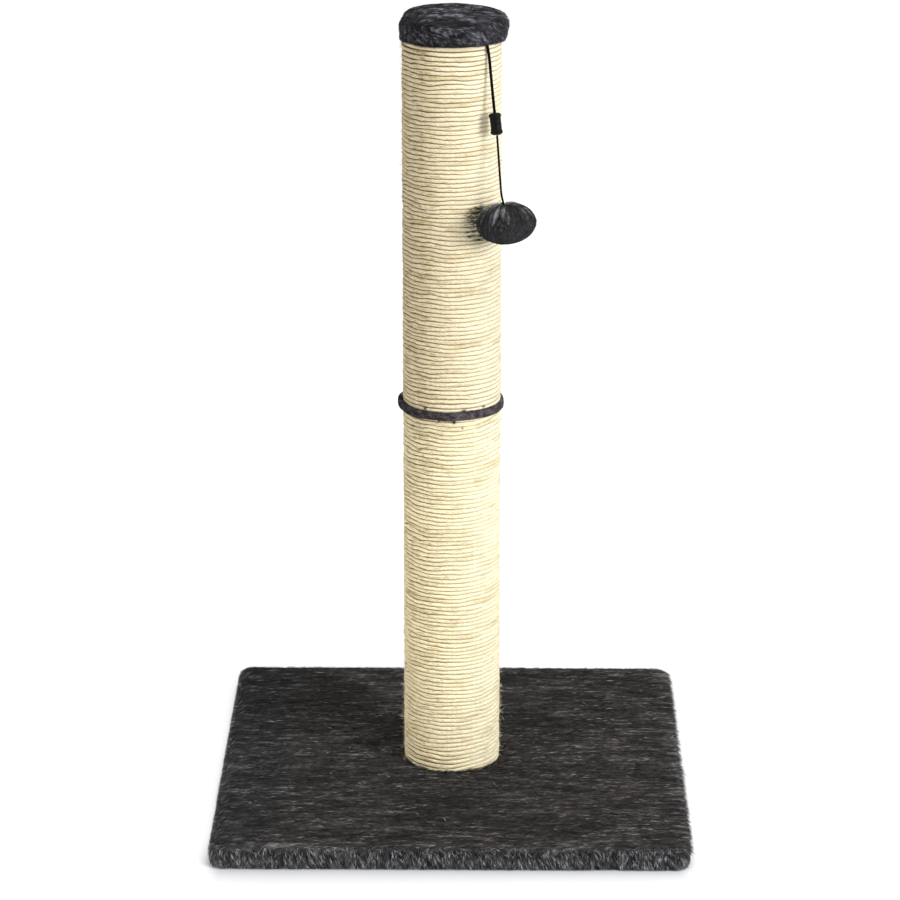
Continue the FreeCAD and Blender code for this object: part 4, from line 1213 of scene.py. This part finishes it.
def rope_fibres(name, count, low, high, seed, stray=3.2):
    """Fibres that stand off the rope between two heights, the boldest stray mm far."""
    random = np.random.default_rng(seed)
    angle = random.uniform(-math.pi, math.pi, count)
    height = random.uniform(low, high, count)
    from_ball = np.abs(np.mod(angle - ball_side + math.pi, 2 * math.pi) - math.pi)
    clear = ~((from_ball < 1.25) & (height > 480) & (height < 672))
    angle, height = angle[clear], height[clear]
    count = len(angle)
    outward = unit(columns(np.cos(angle), np.sin(angle), random.normal(0, 0.15, count)))
    roots = (circle(angle) * 41.3 + columns(0, 0, height)) * mm
    comb = columns(-np.sin(angle), np.cos(angle), random.normal(0, 0.55, count))
    comb *= random.choice((-1, 1), count)[:, None]
    bold = random.random(count) ** 4
    grow(name, (roots, outward), comb, 2.5 + 5 * random.random(count),
         random.uniform(0.14, 0.32, count), 0.5 + stray * bold, random.uniform(0.1, 1, count),
         0.0, fibre_stuff, seed + 1, 0.6)
    print(name, count)


rope_fibres("lower_rope_fibres", 9000, 18, 339, 91)
rope_fibres("upper_rope_fibres", 8000, 353, 660, 93)
rope_fibres("foot_rope_fibres", 1500, 18, 90, 95, 5.5)

# %% Fibres fallen on the base
random = np.random.default_rng(97)
count = 90
angle = random.uniform(-math.pi, math.pi, count)
gone = 44 + 130 * random.random(count) ** 2.2
roots = (circle(angle) * gone[:, None] + (0, 0, 20.3)) * mm
comb = columns(random.normal(0, 1, count), random.normal(0, 0.5, count), 0.0)
grow("fallen_fibres", (roots, np.tile((0.0, 0.0, 1.0), (count, 1))), comb,
     random.uniform(1, 6, count), random.uniform(0.12, 0.3, count),
     random.uniform(0.1, 0.8, count), random.uniform(0.0, 0.8, count), 0.0, fibre_stuff, 98, 1.0)

# %% [markdown]
# ## Finishes of the hard parts
#
# The boards, plugs, tubes, screws, staples, pads and knots are right as the CAD has
# them, so they keep their mesh. Each gets a grain of its own: noise stretched along
# the wood's fibre, round the tubes' paper or along a wire, read from the object's own
# coordinates, which colours the surface, roughens it and raises it.


# %% One finish for grained stuff
def grained(name, dark, light, stretch, scale, roughness, bump, turn=0.0, metallic=0.0):
    """Noise stretched by stretch and turned about x, as colour, roughness and bump height."""
    finish = Finish(name, Metallic=metallic)
    spots = finish.add("Mapping", {0: finish.spot()},
                       {"Scale": stretch, "Rotation": (math.radians(turn), 0, 0)})
    grain = finish.noise(spots.outputs[0], scale, 5.0, 0.6)
    tone = finish.ramp(grain, [(0.28, dark), (0.72, light)])
    rough = finish.plus(grain, roughness[1] - roughness[0], roughness[0])
    return finish.paint(tone, rough, grain, bump)


finishes = {name: grained(name, *how) for name, *how in (
    ("board_wood", (0.36, 0.22, 0.11), (0.68, 0.50, 0.31), (1, 12, 12), 26, (0.55, 0.8), 0.0004),
    ("plug_wood", (0.48, 0.33, 0.18), (0.74, 0.58, 0.38), (9, 9, 1), 40, (0.5, 0.75), 0.0003),
    ("tube_paper", (0.34, 0.23, 0.13), (0.56, 0.42, 0.27), (2, 2, 14), 60, (0.75, 0.95), 0.0003,
     18),
    ("pad_rubber", 0.012, (0.035, 0.035, 0.034), (1, 1, 1), 900, (0.6, 0.85), 0.0002),
    ("wire_steel", (0.48, 0.48, 0.50), (0.70, 0.70, 0.72), (1, 1, 6), 400, (0.25, 0.45),
     0.00003, 0, 1.0),
    ("zinc_steel", (0.52, 0.53, 0.55), (0.78, 0.79, 0.82), (1, 1, 1), 260, (0.28, 0.5),
     0.00005, 0, 1.0))}
knotted = grained("knotted_cord", 0.003, (0.015, 0.015, 0.016), (1, 1, 1), 1400, (0.6, 0.8),
                  0.0002)


# %% Braided cord
def braid(name, radius):
    """A tight braid: two sets of threads that cross round the cord, read off the cord's own map."""
    finish = Finish(name, Roughness=0.85, Specular_IOR_Level=0.03)
    place = finish.split(finish.add("TexCoord").outputs["UV"])
    waves = []
    for way in (1, -1):
        phase = finish.plus(place[0], 56.0 / radius, finish.times(place[1], 4.0 * way))
        waves.append(finish.sum("SINE", finish.times(phase, 2 * math.pi)))
    height = finish.plus(finish.times(*waves), 0.5, 0.5)
    # painted shade: the braid darker where its threads dip
    return finish.paint(finish.ramp(height, [(0.1, 0.001), (0.9, 0.006)]), bump=height,
                        depth=0.00012 * radius)


thick_braid, thin_braid = braid("braided_black_cord", 1.1), braid("thin_black_cord", 0.75)
for cord, material, slot in ((upper_cord, thick_braid, "black_cord"),
                             (held_end, thick_braid, "black_cord"),
                             (lower_cord, thin_braid, "thin_cord")):
    cord.data.materials.append(material)

# %% Finishes onto the CAD parts
finishes |= {"black_plastic": plastic.material, "black_cord": knotted, "thin_cord": knotted,
             "backing_felt": felt, "base_plush": plush_backing, "cap_plush": plush_backing,
             "ball_plush": plush_backing, "band_plush": band_backing, "foam": foam_finish,
             "sisal_rope": fibre_finish.material, "filling": fluff}
for part in frame["record"]["subparts"]:
    node = bpy.data.objects[part["node"]]
    for slot in node.material_slots:
        slot.material = finishes[part["material_slot"]]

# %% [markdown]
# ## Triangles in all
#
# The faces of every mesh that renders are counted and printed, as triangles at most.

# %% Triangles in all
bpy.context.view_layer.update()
triangles = sum(len(thing.data.polygons) * 2 for thing in bpy.data.objects
                if thing.type == "MESH" and not thing.hide_render)
print("faces in all, as triangles at most:", triangles)
